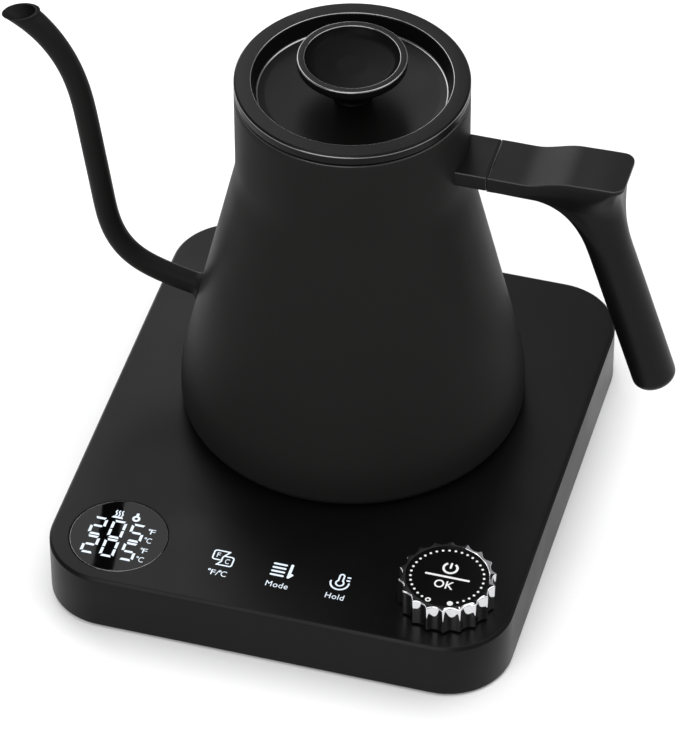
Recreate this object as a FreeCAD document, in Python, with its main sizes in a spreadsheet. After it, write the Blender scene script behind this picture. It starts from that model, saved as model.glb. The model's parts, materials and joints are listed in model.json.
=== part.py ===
"""Electric gooseneck kettle on a square control base, as a parametric document in millimetres.

Frame: +Z up, the table is the plane z = 0, and the origin is the bottom centre of the whole
appliance's bounding box. +X points to the handle, -X to the spout and -Y to the controls.
"""
import FreeCAD, Part
import math
import os
import re

import Sketcher
from FreeCAD import Placement, Rotation, Vector

SIZES = {
    # square base
    "base_x": 4.6, "base_width": 189.0, "base_depth": 217.0, "base_corner": 26.3,
    "base_height": 25.2, "base_wall": 2.5, "base_edge": 1.0, "foot_height": 1.5,
    "foot_radius": 9.0, "foot_inset": 25.0, "cover_thickness": 2.5, "cover_gap": 0.2,
    # self-tapping screws that close the base
    "boss_radius": 3.6, "boss_x": 84.0, "boss_rear_y": 94.0, "boss_side_y": 45.0,
    "boss_front_y": 101.0, "pilot_radius": 1.3, "screw_radius": 1.5, "screw_hole": 1.8,
    "head_radius": 2.8, "head_height": 1.6, "screw_length": 11.0,
    # display, touch keys and the boards below them
    "display_x": 66.6, "display_y": 82.8, "window_radius": 19.8, "window_thickness": 1.5,
    "window_ledge": 1.6, "module_width": 30.0, "module_depth": 24.0,
    "board_z": 15.0, "board_thickness": 1.6, "control_board_width": 166.0,
    "control_board_depth": 28.0, "touch_pitch": 24.0, "touch_y": 83.5, "touch_radius": 5.0,
    "power_board_width": 120.0, "power_board_depth": 30.0, "power_board_y": 70.0,
    "power_board_z": 7.0, "power_part_height": 14.5, "relay_x": 38.0, "relay_width": 20.0,
    "relay_depth": 16.0, "transformer_x": 36.0, "transformer_width": 22.0,
    "transformer_depth": 19.0, "spring_wall": 0.8, "module_play": 0.2,
    # dial and its push encoder
    "dial_x": 67.6, "dial_y": 81.6, "dial_radius": 19.4, "dial_height": 12.2,
    "dial_gap": 0.9, "dial_face_radius": 16.35, "dial_face_thickness": 1.2, "face_recess": 0.4,
    "dial_wall": 1.6, "dial_web": 1.8, "dial_bevel": 0.5, "flute_count": 18,
    "flute_depth": 1.6, "flute_radius": 3.8, "flute_turn": 10.0, "hub_radius": 5.2,
    "hub_bottom": 2.4, "shaft_radius": 3.0, "shaft_engagement": 7.4, "stem_radius": 1.5,
    "stem_bottom": 2.0, "shaft_shoulder": 5.4,
    "encoder_side": 12.4, "encoder_height": 6.0, "bush_radius": 3.5, "bush_bore": 3.06,
    "bush_rise": 2.6, "bush_floor": 3.0, "rotor_chamber_floor": 1.0, "rotor_chamber_top": 4.6,
    "rotor_lift": 2.2, "rotor_radius": 4.8, "rotor_thickness": 1.6, "rotor_play": 0.08,
    "dome_radius": 2.2, "dome_height": 0.3, "nut_width": 10.0, "nut_height": 2.0,
    # cord entry in the rear wall
    "gland_z": 12.0, "gland_bore": 3.5, "gland_radius": 5.9, "gland_flange": 8.0,
    "gland_length": 7.0, "gland_flange_thickness": 1.6, "clamp_y": 94.0,
    "clamp_half_pitch": 11.0, "clamp_height": 4.0, "clamp_depth": 8.0, "clamp_end": 4.0,
    "clamp_seat": 0.5, "clamp_screw_length": 8.0, "clamp_pilot_depth": 6.0,
    # 360 degree connector
    "kettle_y": 23.0, "boss_ring": 17.0, "socket_flange": 28.0, "socket_top": 9.0,
    "socket_bottom": 6.0, "pin_hole": 4.0, "slot_inner": 9.5, "slot_outer": 11.6,
    "slot_floor": 3.0, "contact_height": 8.0, "pin_sleeve_wall": 0.6, "slot_sleeve_wall": 0.4,
    "collar_outer": 23.6, "collar_bore": 17.06, "collar_top": 1.2, "collar_thickness": 3.4,
    "connector_radius": 24.0, "connector_skirt": 17.5, "connector_top": 13.0,
    "connector_roof": 9.6, "connector_clearance": 0.3, "pin_radius": 2.8, "pin_bottom": 0.6,
    "blade_inner": 10.2, "blade_outer": 10.9,
    # kettle body
    "body_radius": 69.8, "body_straight": 16.2, "neck_radius": 46.0, "neck_start": 120.4,
    "neck_top": 161.2, "steel": 1.0, "bottom_gap": 0.6, "bottom_edge": 7.0,
    "belly_blend": 60.0, "neck_blend": 50.0, "bottom_rim": 59.5,
    "heater_z": 19.5, "heater_thickness": 1.5, "spreader_radius": 52.0,
    "spreader_thickness": 3.0, "element_ring": 38.0, "element_radius": 3.3,
    "control_radius": 16.0, "sensor_x": 26.0, "sensor_radius": 2.5, "sensor_top": 30.0,
    "seal_radius": 5.0, "seal_height": 2.0, "kettle_cover_z": 1.0,
    "kettle_cover_thickness": 2.0, "kettle_screw_ring": 46.0,
    # spout: two straight runs and the mouth run, joined by two arcs
    "spout_radius": 4.55, "spout_wall": 0.7, "spout_root_x": 56.0, "spout_root_z": 40.1,
    "spout_elbow_x": 100.2, "spout_elbow_z": 50.3, "spout_elbow_radius": 37.6,
    "spout_crest_x": 113.4, "spout_crest_z": 152.1, "spout_crest_radius": 64.0,
    "mouth_x": 134.4, "mouth_z": 169.6, "mouth_tilt": 12.6, "mouth_radius": 6.2,
    "flare_start_z": 138.0, "spout_overrun": 10.0,
    # handle
    "arm_top": 138.5, "arm_thickness": 6.8, "arm_width": 24.0, "seam_x": 57.0,
    "seam_gap": 0.15, "dip_start_x": 73.0, "paddle_start_x": 87.0, "paddle_top": 142.9,
    "paddle_end_x": 111.0, "paddle_corner": 8.0, "paddle_edge": 3.0,
    "grip_radius": 8.9, "grip_end_x": 125.3, "grip_end_z": 37.6, "grip_lean": 17.5,
    "grip_end_round": 4.0, "grip_blend": 18.0, "flare_z": 118.0, "paddle_flare": 6.8,
    "grip_shoulder": 2.0, "dip_blend": 20.0, "insert_width": 12.0, "insert_thickness": 2.4,
    "insert_start_x": 47.5, "insert_end_x": 92.0, "handle_screw_x": 64.0,
    "handle_screw_pitch": 11.0, "recess_depth": 0.6, "bracket_root_x": 40.0,
    # lid
    "lid_top": 166.4, "lid_band": 4.7, "lid_edge": 0.7, "well_radius": 39.3,
    "well_floor_radius": 37.6, "well_depth": 7.0, "well_dish": 1.4, "lid_skin": 1.6,
    "plug_radius": 43.4, "plug_bottom": 148.0, "inner_plate_thickness": 1.0,
    "gasket_radius": 44.7, "gasket_z": 152.0, "gasket_height": 4.0, "gasket_depth": 1.4,
    # knob
    "knob_top": 177.2, "knob_radius": 21.4, "knob_lip": 2.9, "knob_rim_height": 3.6,
    "knob_dish": 4.2, "knob_bowl_bottom": 166.6, "knob_stem_radius": 7.0,
    "knob_foot_radius": 8.5, "knob_seat": 0.4, "knob_screw_radius": 2.0,
    "knob_head_radius": 3.8, "knob_screw_length": 9.0, "knob_washer_radius": 6.0,
    "knob_washer_thickness": 0.8,
}

doc = FreeCAD.newDocument("electric_kettle")
sheet = doc.addObject("Spreadsheet::Sheet", "size")
for row, (alias, number) in enumerate(SIZES.items(), start=1):
    sheet.set("A%d" % row, alias)
    sheet.set("B%d" % row, str(number))
    sheet.setAlias("B%d" % row, alias)
doc.recompute()

BASE = ("base_x", "0", "0")
TOP = "(foot_height + base_height)"
KETTLE = ("base_x", "kettle_y", TOP)
nodes = []


def bound(expression):
    """Point every size name in an expression at its cell of the sheet."""
    return re.sub(r"[a-z_]+", lambda word: "size." + word.group()
                  if word.group() in SIZES else word.group(), str(expression))


def value(expression):
    """The number that an expression of sheet sizes comes to."""
    return float(sheet.evalExpression(bound(expression)))


def place(item, frame, dx="0", dy="0", dz="0"):
    """Bind an object's position to a frame's origin plus an offset."""
    for letter, origin, offset in zip("xyz", frame, (dx, dy, dz)):
        item.setExpression("Placement.Base." + letter, bound("%s + %s" % (origin, offset)))


def keep(item, name):
    """List an object as a finished sub-part under its own label."""
    item.Label = name
    nodes.append((name, item))
    return item


class Piece:
    """A PartDesign body whose sketched features take their sizes from the sheet."""

    def __init__(self, name, frame, dx="0", dy="0", dz="0", finished=True):
        self.body = doc.addObject("PartDesign::Body", name + "_body")
        place(self.body, frame, dx, dy, dz)
        self.name = name
        self.count = 0
        if finished:
            keep(self.body, name)

    def sketch(self, role, offset="0"):
        plane = [item for item in self.body.Origin.OriginFeatures if item.Role == role][0]
        self.count += 1
        sketch = self.body.newObject("Sketcher::SketchObject", "%s_sketch%d" % (self.name, self.count))
        sketch.AttachmentSupport = [(plane, "")]
        sketch.MapMode = "FlatFace"
        sketch.setExpression("AttachmentOffset.Base.z", bound(offset))
        return sketch

    def feature(self, kind, sketch):
        self.count += 1
        feature = self.body.newObject("PartDesign::" + kind, "%s_%s%d" % (self.name, kind, self.count))
        feature.Profile = sketch
        sketch.Visibility = False
        return feature

    def revolve(self, corners, kind="Revolution"):
        """Turn a closed outline of (radius, height) corners about the local Z axis."""
        sketch = self.sketch("XZ_Plane")
        polygon(sketch, corners)
        feature = self.feature(kind, sketch)
        feature.ReferenceAxis = (sketch, ["V_Axis"])
        feature.Angle = 360
        doc.recompute()
        return feature

    def pad(self, draw, bottom, height):
        sketch = self.sketch("XY_Plane", bottom)
        draw(sketch)
        feature = self.feature("Pad", sketch)
        feature.setExpression("Length", bound(height))
        doc.recompute()
        return feature

    def pocket(self, draw, top, depth, role="XY_Plane"):
        """Cut downwards from the height top, and make sure that something was cut."""
        before = self.body.Shape.Volume
        sketch = self.sketch(role, top)
        draw(sketch)
        feature = self.feature("Pocket", sketch)
        feature.setExpression("Length", bound(depth))
        doc.recompute()
        if self.body.Shape.Volume > before - 1e-6:
            raise RuntimeError("%s: a pocket cuts nothing" % self.name)
        return feature

    def dress(self, kind, edges, length):
        """Add a Fillet or a Chamfer on the edges that a test picks from the body's tip."""
        tip = self.body.Tip
        names = ["Edge%d" % (i + 1) for i, edge in enumerate(tip.Shape.Edges) if edges(edge)]
        if not names:
            raise RuntimeError("%s: no edge to dress" % self.name)
        self.count += 1
        feature = self.body.newObject("PartDesign::" + kind, "%s_%s%d" % (self.name, kind, self.count))
        feature.Base = (tip, names)
        feature.setExpression("Radius" if kind == "Fillet" else "Size", bound(length))
        doc.recompute()
        return feature


def pin_point(sketch, geometry, end, x, y):
    """Bind one sketch point to sheet expressions for its two coordinates."""
    for kind, axis, expression in (("DistanceX", -2, x), ("DistanceY", -1, y)):
        if str(expression) == "0":
            sketch.addConstraint(Sketcher.Constraint("PointOnObject", geometry, end, axis))
            continue
        index = sketch.addConstraint(
            Sketcher.Constraint(kind, -1, 1, geometry, end, value(expression)))
        sketch.setExpression("Constraints[%d]" % index, bound(expression))


def polygon(sketch, corners):
    """A closed outline of straight lines through corners given as sheet expressions."""
    first = sketch.GeometryCount
    points = [Vector(value(x), value(y), 0) for x, y in corners]
    total = len(points)
    for index, start in enumerate(points):
        sketch.addGeometry(Part.LineSegment(start, points[(index + 1) % total]), False)
    for index, (x, y) in enumerate(corners):
        following = first + (index + 1) % total
        sketch.addConstraint(Sketcher.Constraint("Coincident", first + index, 2, following, 1))
        pin_point(sketch, first + index, 1, x, y)


def circles(places, radius):
    """A drawing of equal circles at the given (x, y) places."""
    def draw(sketch):
        for x, y in places:
            centre = Vector(value(x), value(y), 0)
            index = sketch.addGeometry(Part.Circle(centre, Vector(0, 0, 1), value(radius)), False)
            pin_point(sketch, index, 3, x, y)
            bind = sketch.addConstraint(Sketcher.Constraint("Radius", index, value(radius)))
            sketch.setExpression("Constraints[%d]" % bind, bound(radius))
    return draw


def rectangle(x, y, width, depth):
    """A drawing of a rectangle by its centre and its two sides."""
    left, right = "%s - (%s)/2" % (x, width), "%s + (%s)/2" % (x, width)
    low, high = "%s - (%s)/2" % (y, depth), "%s + (%s)/2" % (y, depth)
    return lambda sketch: polygon(sketch, [(left, low), (right, low), (right, high), (left, high)])


def rounded_rectangle(width, depth, corner):
    """A drawing of a rectangle about the origin with tangent corner arcs."""
    def draw(sketch):
        half_x, half_y, round_corner = value(width) / 2, value(depth) / 2, value(corner)
        inner_x, inner_y = half_x - round_corner, half_y - round_corner
        sides = [((-inner_x, -half_y), (inner_x, -half_y)), ((half_x, -inner_y), (half_x, inner_y)),
                 ((inner_x, half_y), (-inner_x, half_y)), ((-half_x, inner_y), (-half_x, -inner_y))]
        centres = [(inner_x, -inner_y), (inner_x, inner_y), (-inner_x, inner_y),
                   (-inner_x, -inner_y)]
        for start, end in sides:
            sketch.addGeometry(Part.LineSegment(Vector(*start, 0), Vector(*end, 0)), False)
        for index, centre in enumerate(centres):
            turn = (index - 1) * math.pi / 2
            circle = Part.Circle(Vector(*centre, 0), Vector(0, 0, 1), round_corner)
            sketch.addGeometry(Part.ArcOfCircle(circle, turn, turn + math.pi / 2), False)
        for index in range(4):
            arc = 4 + index
            sketch.addConstraint(Sketcher.Constraint("Tangent", index, 2, arc, 1))
            sketch.addConstraint(Sketcher.Constraint("Tangent", arc, 2, (index + 1) % 4, 1))
            if index:
                sketch.addConstraint(Sketcher.Constraint("Equal", 4, arc))
        bind = sketch.addConstraint(Sketcher.Constraint("Radius", 4, round_corner))
        sketch.setExpression("Constraints[%d]" % bind, bound(corner))
        for kind, line, expression in (
                ("DistanceY", 0, "-(%s)/2" % depth), ("DistanceX", 1, "(%s)/2" % width),
                ("DistanceY", 2, "(%s)/2" % depth), ("DistanceX", 3, "-(%s)/2" % width)):
            sketch.addConstraint(
                Sketcher.Constraint("Horizontal" if kind == "DistanceY" else "Vertical", line))
            bind = sketch.addConstraint(
                Sketcher.Constraint(kind, -1, 1, line, 1, value(expression)))
            sketch.setExpression("Constraints[%d]" % bind, bound(expression))
    return draw


def upright(edge):
    """True for a straight edge along Z."""
    if not isinstance(edge.Curve, Part.Line):
        return False
    return abs(edge.Curve.Direction.z) > 0.999


def level(height, shortest=0.0, longest=1e9):
    """A test for edges that lie at one height and have a length in the given range."""
    def test(edge):
        box = edge.BoundBox
        flat = abs(box.ZMin - height) < 0.01 and abs(box.ZMax - height) < 0.01
        return flat and shortest < edge.Length < longest
    return test


def cylinder(name, frame, radius, height, dx="0", dy="0", dz="0"):
    item = doc.addObject("Part::Cylinder", name)
    item.setExpression("Radius", bound(radius))
    item.setExpression("Height", bound(height))
    place(item, frame, dx, dy, dz)
    return item


def block(name, frame, width, depth, height, dx="0", dy="0", dz="0"):
    """A box centred on (dx, dy) that stands on dz."""
    item = doc.addObject("Part::Box", name)
    for side, expression in (("Length", width), ("Width", depth), ("Height", height)):
        item.setExpression(side, bound(expression))
    place(item, frame, "%s - (%s)/2" % (dx, width), "%s - (%s)/2" % (dy, depth), dz)
    return item


def cut(name, base, tool):
    item = doc.addObject("Part::Cut", name)
    item.Base = base
    item.Tool = tool
    return item


def fuse(name, *shapes):
    item = doc.addObject("Part::MultiFuse", name)
    item.Shapes = list(shapes)
    return item


def tube(name, frame, outer, inner, height, dx="0", dy="0", dz="0"):
    return cut(name, cylinder(name + "_outer", frame, outer, height, dx, dy, dz),
               cylinder(name + "_bore", frame, inner, height, dx, dy, dz))


def group(name, pieces):
    """One node that holds several separate solids."""
    item = doc.addObject("Part::Compound", name)
    item.Links = pieces
    return keep(item, name)


def screw(name, frame, x, y, head_z, radius, head, head_height, length, up=True):
    """A pan-head screw whose shank runs up (or down) from the head."""
    shank_z = "%s + %s" % (head_z, head_height) if up else "%s - %s" % (head_z, length)
    top = cylinder(name + "_head", frame, head, head_height, x, y, head_z)
    shank = cylinder(name + "_shank", frame, radius, length, x, y, shank_z)
    return fuse(name, top, shank)


# ---------------------------------------------------------------- base

INSIDE_TOP = "foot_height + base_height - base_wall"
BOSSES = [("boss_x", "boss_rear_y"), ("-boss_x", "boss_rear_y"), ("boss_x", "-boss_side_y"),
          ("-boss_x", "-boss_side_y"), ("0", "-boss_front_y")]


def base_top_housing():
    piece = Piece("base_top_housing", BASE)
    piece.pad(rounded_rectangle("base_width", "base_depth", "base_corner"), "foot_height",
              "base_height")
    piece.dress("Chamfer", level(value(TOP)), "base_edge")
    piece.pocket(rounded_rectangle("base_width - 2*base_wall", "base_depth - 2*base_wall",
                                   "base_corner - base_wall"),
                 INSIDE_TOP, "base_height - base_wall")
    piece.pad(circles(BOSSES, "boss_radius"), "foot_height + cover_thickness",
              "base_height - base_wall - cover_thickness")
    piece.pocket(circles(BOSSES, "pilot_radius"), "foot_height + cover_thickness + screw_length",
                 "screw_length")
    piece.pocket(circles([("-display_x", "-display_y")], "window_radius"), TOP,
                 "window_thickness")
    piece.pocket(circles([("-display_x", "-display_y")], "window_radius - window_ledge"), TOP,
                 "base_wall")
    piece.pocket(circles([("dial_x", "-dial_y")], "bush_radius + 0.1"), TOP, "base_wall")
    piece.pocket(circles([("0", "kettle_y")], "collar_outer + 0.3"), TOP, "base_wall")
    piece.pocket(circles([("0", "gland_z")], "gland_radius"), "base_wall - base_depth/2",
                 "base_wall", role="XZ_Plane")


def base_bottom_cover():
    piece = Piece("base_bottom_cover", BASE)
    inset = "2*(base_wall + cover_gap)"
    piece.pad(rounded_rectangle("base_width - " + inset, "base_depth - " + inset,
                                "base_corner - base_wall - cover_gap"),
              "foot_height", "cover_thickness")
    clamp_posts = [("clamp_half_pitch", "clamp_y"), ("-clamp_half_pitch", "clamp_y")]
    piece.pad(circles(clamp_posts, "boss_radius"), "foot_height + cover_thickness - 0.01",
              "gland_z + clamp_seat - foot_height - cover_thickness + 0.01")
    piece.pocket(circles(clamp_posts, "pilot_radius"), "gland_z + clamp_seat",
                 "clamp_pilot_depth")
    piece.pocket(circles(BOSSES, "screw_hole"), "foot_height + cover_thickness",
                 "cover_thickness")
    piece.pocket(circles(BOSSES, "head_radius + 0.3"), "foot_height + head_height",
                 "head_height")


def base_hardware():
    foot_x, foot_y = "(base_width/2 - foot_inset)", "(base_depth/2 - foot_inset)"
    group("rubber_feet", [
        cylinder("foot_%d" % index, BASE, "foot_radius", "foot_height",
                 "%s*%s" % (side_x, foot_x), "%s*%s" % (side_y, foot_y))
        for index, (side_x, side_y) in enumerate([("1", "1"), ("-1", "1"), ("-1", "-1"), ("1", "-1")])])
    group("base_screws", [
        screw("base_screw_%d" % index, BASE, x, y, "foot_height", "screw_radius - 0.25",
              "head_radius", "head_height", "screw_length - 1")
        for index, (x, y) in enumerate(BOSSES)])


def display():
    keep(cylinder("display_window", BASE, "window_radius - 0.1", "window_thickness",
                  "-display_x", "-display_y", TOP + " - window_thickness"), "display_window")
    keep(block("display_module", BASE, "module_width", "module_depth",
               INSIDE_TOP + " - board_z - board_thickness - module_play", "-display_x", "-display_y",
               "board_z + board_thickness"), "display_module")


def boards():
    piece = Piece("control_board", BASE)
    piece.pad(rectangle("0", "-display_y", "control_board_width", "control_board_depth"),
              "board_z", "board_thickness")
    spring_height = INSIDE_TOP + " - board_z - board_thickness"
    group("touch_springs", [
        tube("touch_spring_%d" % index, BASE, "touch_radius", "touch_radius - spring_wall",
             spring_height, "%d*touch_pitch" % step, "-touch_y", "board_z + board_thickness")
        for index, step in enumerate((-1, 0, 1))])
    piece = Piece("power_board", BASE)
    piece.pad(rectangle("0", "power_board_y", "power_board_width", "power_board_depth"),
              "power_board_z", "board_thickness")
    parts_z = "power_board_z + board_thickness"
    keep(block("relay", BASE, "relay_width", "relay_depth", "power_part_height", "-relay_x",
               "power_board_y", parts_z), "relay")
    keep(block("transformer", BASE, "transformer_width", "transformer_depth",
               "power_part_height", "transformer_x", "power_board_y", parts_z), "transformer")


def encoder():
    """Push encoder: fixed body with a threaded bush, a keyed rotor, a sprung shaft and a nut."""
    seat = "board_z + board_thickness"
    piece = Piece("encoder_body", BASE, "dial_x", "-dial_y", seat)
    piece.pad(rectangle("0", "0", "encoder_side", "encoder_side"), "0", "encoder_height")
    bush_top = TOP + " + bush_rise - board_z - board_thickness"
    piece.pad(circles([("0", "0")], "bush_radius"), "encoder_height - 0.01",
              bush_top + " - encoder_height + 0.01")
    piece.pocket(circles([("0", "0")], "bush_bore"), bush_top, bush_top + " - bush_floor")
    piece.pocket(circles([("0", "0")], "rotor_radius + rotor_play"), "rotor_chamber_top",
                 "rotor_chamber_top - rotor_chamber_floor")
    keep(cylinder("push_dome", BASE, "dome_radius", "dome_height", "dial_x", "-dial_y",
                  seat + " + rotor_chamber_floor"), "push_dome")
    keep(tube("encoder_rotor", BASE, "rotor_radius", "stem_radius + 0.05", "rotor_thickness",
              "dial_x", "-dial_y", seat + " + rotor_lift"), "encoder_rotor")
    piece = Piece("encoder_shaft", BASE, "dial_x", "-dial_y", seat)
    shaft_top = TOP + " - board_z - board_thickness + dial_gap + hub_bottom + shaft_engagement"
    piece.revolve([("0", "stem_bottom"), ("stem_radius", "stem_bottom"),
                   ("stem_radius", "shaft_shoulder"), ("shaft_radius", "shaft_shoulder"),
                   ("shaft_radius", shaft_top), ("0", shaft_top)])
    nut = doc.addObject("Part::Prism", "nut_prism")
    nut.Polygon = 6
    nut.setExpression("Circumradius", bound("nut_width/2/cos(30)"))
    nut.setExpression("Height", bound("nut_height"))
    place(nut, BASE, "dial_x", "-dial_y", TOP)
    keep(cut("encoder_nut", nut, cylinder("nut_bore", BASE, "bush_radius", "nut_height",
                                          "dial_x", "-dial_y", TOP)), "encoder_nut")


def dial():
    """Fluted metal ring with a hub on the shaft, and a flat face disc let into its top."""
    piece = Piece("dial_ring", BASE, "dial_x", "-dial_y", TOP + " + dial_gap")
    rim = "dial_radius"
    face_seat = "dial_height - dial_face_thickness - face_recess"
    web_bottom = face_seat + " - dial_web"
    inner = "dial_radius - flute_depth - dial_wall"
    piece.revolve([
        ("shaft_radius", "hub_bottom"), ("hub_radius", "hub_bottom"), ("hub_radius", web_bottom),
        (inner, web_bottom), (inner, "0"), (rim, "0"), (rim, "dial_height - dial_bevel"),
        (rim + " - dial_bevel", "dial_height"), ("dial_face_radius + 0.1", "dial_height"),
        ("dial_face_radius + 0.1", face_seat), ("shaft_radius", face_seat)])
    flute_ring = "(dial_radius - flute_depth + flute_radius)"
    flute_place = (flute_ring + "*cos(flute_turn)", flute_ring + "*sin(flute_turn)")
    flute = piece.pocket(circles([flute_place], "flute_radius"), "dial_height", "dial_height")
    pattern = piece.body.newObject("PartDesign::PolarPattern", "dial_ring_flutes")
    pattern.Originals = [flute]
    pattern.Axis = (flute.Profile[0], ["N_Axis"])
    pattern.Angle = 360
    pattern.setExpression("Occurrences", bound("flute_count"))
    piece.body.Tip = pattern
    doc.recompute()
    keep(cylinder("dial_face", BASE, "dial_face_radius", "dial_face_thickness", "dial_x",
                  "-dial_y", TOP + " + dial_gap + " + face_seat), "dial_face")


def cord_entry():
    piece = Piece("cord_gland", BASE)
    outer_y = "base_depth/2"
    sketch = piece.sketch("XZ_Plane", "-(%s)" % outer_y)
    circles([("0", "gland_z")], "gland_radius - 0.05")(sketch)
    sleeve = piece.feature("Pad", sketch)
    sleeve.setExpression("Length", bound("gland_length"))
    doc.recompute()
    sketch = piece.sketch("XZ_Plane", "-(%s - base_wall)" % outer_y)
    circles([("0", "gland_z")], "gland_flange")(sketch)
    flange = piece.feature("Pad", sketch)
    flange.setExpression("Length", bound("gland_flange_thickness"))
    doc.recompute()
    sketch = piece.sketch("XZ_Plane", "-(%s)" % outer_y)
    circles([("0", "gland_z")], "gland_bore")(sketch)
    bore = piece.feature("Pocket", sketch)
    bore.Reversed = True
    bore.setExpression("Length", bound("gland_length"))
    doc.recompute()
    bar = block("clamp_bar", BASE, "2*(clamp_half_pitch + clamp_end)", "clamp_depth",
                "clamp_height", "0", "clamp_y", "gland_z + clamp_seat")
    groove = cylinder("clamp_groove", BASE, "gland_bore", "clamp_depth", "0",
                      "clamp_y + clamp_depth/2", "gland_z")
    groove.Placement.Rotation = Rotation(Vector(1, 0, 0), 90)
    holes = [cylinder("clamp_hole_%d" % index, BASE, "screw_radius", "clamp_height",
                      side + "*clamp_half_pitch", "clamp_y", "gland_z + clamp_seat")
             for index, side in enumerate(("1", "-1"))]
    keep(cut("cord_clamp", bar, fuse("clamp_tools", groove, *holes)), "cord_clamp")
    group("cord_clamp_screws", [
        screw("clamp_screw_%d" % index, BASE, side + "*clamp_half_pitch", "clamp_y",
              "gland_z + clamp_seat + clamp_height", "pilot_radius - 0.05", "head_radius",
              "head_height", "clamp_screw_length", up=False)
        for index, side in enumerate(("1", "-1"))])


def connector_socket():
    """The base half of the connector, with its contacts and the free-turning collar."""
    piece = Piece("connector_socket", KETTLE)
    piece.revolve([
        ("0", "-socket_bottom"), ("socket_flange", "-socket_bottom"),
        ("socket_flange", "-base_wall"), ("collar_outer + 0.6", "-base_wall"),
        ("boss_ring", "-base_wall"), ("boss_ring", "socket_top - 1"),
        ("boss_ring - 1", "socket_top"), ("slot_outer", "socket_top"),
        ("slot_outer", "-slot_floor"), ("slot_inner", "-slot_floor"),
        ("slot_inner", "socket_top"), ("pin_hole", "socket_top"), ("pin_hole", "-slot_floor"),
        ("0", "-slot_floor")])
    group("connector_contacts", [
        tube("pin_sleeve", KETTLE, "pin_hole", "pin_hole - pin_sleeve_wall", "contact_height",
             dz="-slot_floor"),
        tube("slot_sleeve", KETTLE, "slot_inner + slot_sleeve_wall", "slot_inner",
             "contact_height", dz="-slot_floor")])
    piece = Piece("connector_collar", KETTLE)
    low = "collar_top - collar_thickness"
    piece.revolve([("collar_bore", low), ("collar_outer", low),
                   ("collar_outer", "collar_top - 0.5"), ("collar_outer - 0.5", "collar_top"),
                   ("collar_bore", "collar_top")])


# ---------------------------------------------------------------- kettle

def vessel_form(name, inset, top):
    """The vessel's form, a given distance inside its outer skin, closed at both ends."""
    side = "(body_radius - %s)" % inset
    neck = "(neck_radius - %s)" % inset
    low = "bottom_gap + %s" % inset
    piece = Piece(name, KETTLE, finished=False)
    piece.revolve([("0", low), (side, low), (side, "body_straight"), (neck, "neck_start"),
                   (neck, top), ("0", top)])
    for height, radius, blend in (("neck_start", neck, "neck_blend + " + inset),
                                  ("body_straight", side, "belly_blend - " + inset),
                                  (low, side, "bottom_edge - " + inset)):
        length = 2 * math.pi * value(radius)
        piece.dress("Fillet", level(value(height), length - 0.5, length + 0.5), blend)
    return piece.body


def shaped(name, shape, frame):
    """A sub-part whose shape comes from the sheet's sizes in code, placed in a frame."""
    item = doc.addObject("Part::Feature", name)
    item.Shape = shape
    place(item, frame)
    doc.recompute()
    return item


def spout_route():
    """Edges of the spout's centreline: three straight runs joined by two tangent arcs."""
    root = Vector(-value("spout_root_x"), 0, value("spout_root_z"))
    elbow = Vector(-value("spout_elbow_x"), 0, value("spout_elbow_z"))
    crest = Vector(-value("spout_crest_x"), 0, value("spout_crest_z"))
    mouth = Vector(-value("mouth_x"), 0, value("mouth_z"))
    end = mouth + (mouth - crest).normalize() * value("spout_overrun")
    edges = []
    start = root
    for corner, following, radius in ((elbow, crest, value("spout_elbow_radius")),
                                      (crest, end, value("spout_crest_radius"))):
        back = (start - corner).normalize()
        ahead = (following - corner).normalize()
        half_turn = (math.pi - back.getAngle(ahead)) / 2
        reach = radius * math.tan(half_turn)
        towards_centre = (back + ahead).normalize()
        middle = corner + towards_centre * (radius / math.cos(half_turn) - radius)
        arc_start, arc_end = corner + back * reach, corner + ahead * reach
        edges.append(Part.LineSegment(start, arc_start).toShape())
        edges.append(Part.Arc(arc_start, middle, arc_end).toShape())
        start = arc_end
    edges.append(Part.LineSegment(start, end).toShape())
    return edges


def spout_solid(inset):
    """Loft circles along the route; their radius grows smoothly from the flare to the mouth."""
    section_spacing = 9.0
    stations = []
    flare_start, flare_end = value("flare_start_z"), value("mouth_z")
    growth = value("mouth_radius - spout_radius")
    for edge in spout_route():
        steps = max(2, round(edge.Length / section_spacing))
        span = edge.LastParameter - edge.FirstParameter
        stations += [(edge, edge.FirstParameter + span * index / steps)
                     for index in range(steps)]
    stations.append((edge, edge.LastParameter))
    sections = []
    for edge, parameter in stations:
        point, tangent = edge.valueAt(parameter), edge.tangentAt(parameter)
        share = max(0.0, (point.z - flare_start) / (flare_end - flare_start))
        radius = value("spout_radius") + growth * share * share - inset
        sections.append(Part.Wire(Part.Circle(point, tangent, radius).toShape()))
    return Part.makeLoft(sections, True)


def slab_above(point, tilt, size=80.0):
    """A big block whose lower face passes through a point, tilted about the Y axis."""
    slab = Part.makeBox(size, size, size, Vector(-size / 2, -size / 2, 0))
    slab.Placement = Placement(point, Rotation(Vector(0, 1, 0), tilt))
    return slab


def vessel_and_spout():
    outside = vessel_form("vessel_form", "0", "neck_top")
    cavity = vessel_form("vessel_cavity", "steel", "neck_top + 5")
    bottom_mouth = cylinder("bottom_mouth", KETTLE, "bottom_rim", "10", dz="-1")
    bore = shaped("spout_bore", spout_solid(value("spout_wall")), KETTLE)
    keep(cut("kettle_shell", outside, fuse("shell_tools", cavity, bottom_mouth, bore)),
         "kettle_shell")
    mouth = Vector(-value("mouth_x"), 0, value("mouth_z"))
    tube_shape = spout_solid(0).cut(spout_solid(value("spout_wall")))
    tube_shape = tube_shape.cut(slab_above(mouth, -value("mouth_tilt")))
    raw = shaped("spout_tube", tube_shape, KETTLE)
    keep(cut("spout", raw, outside), "spout")
    return outside


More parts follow.
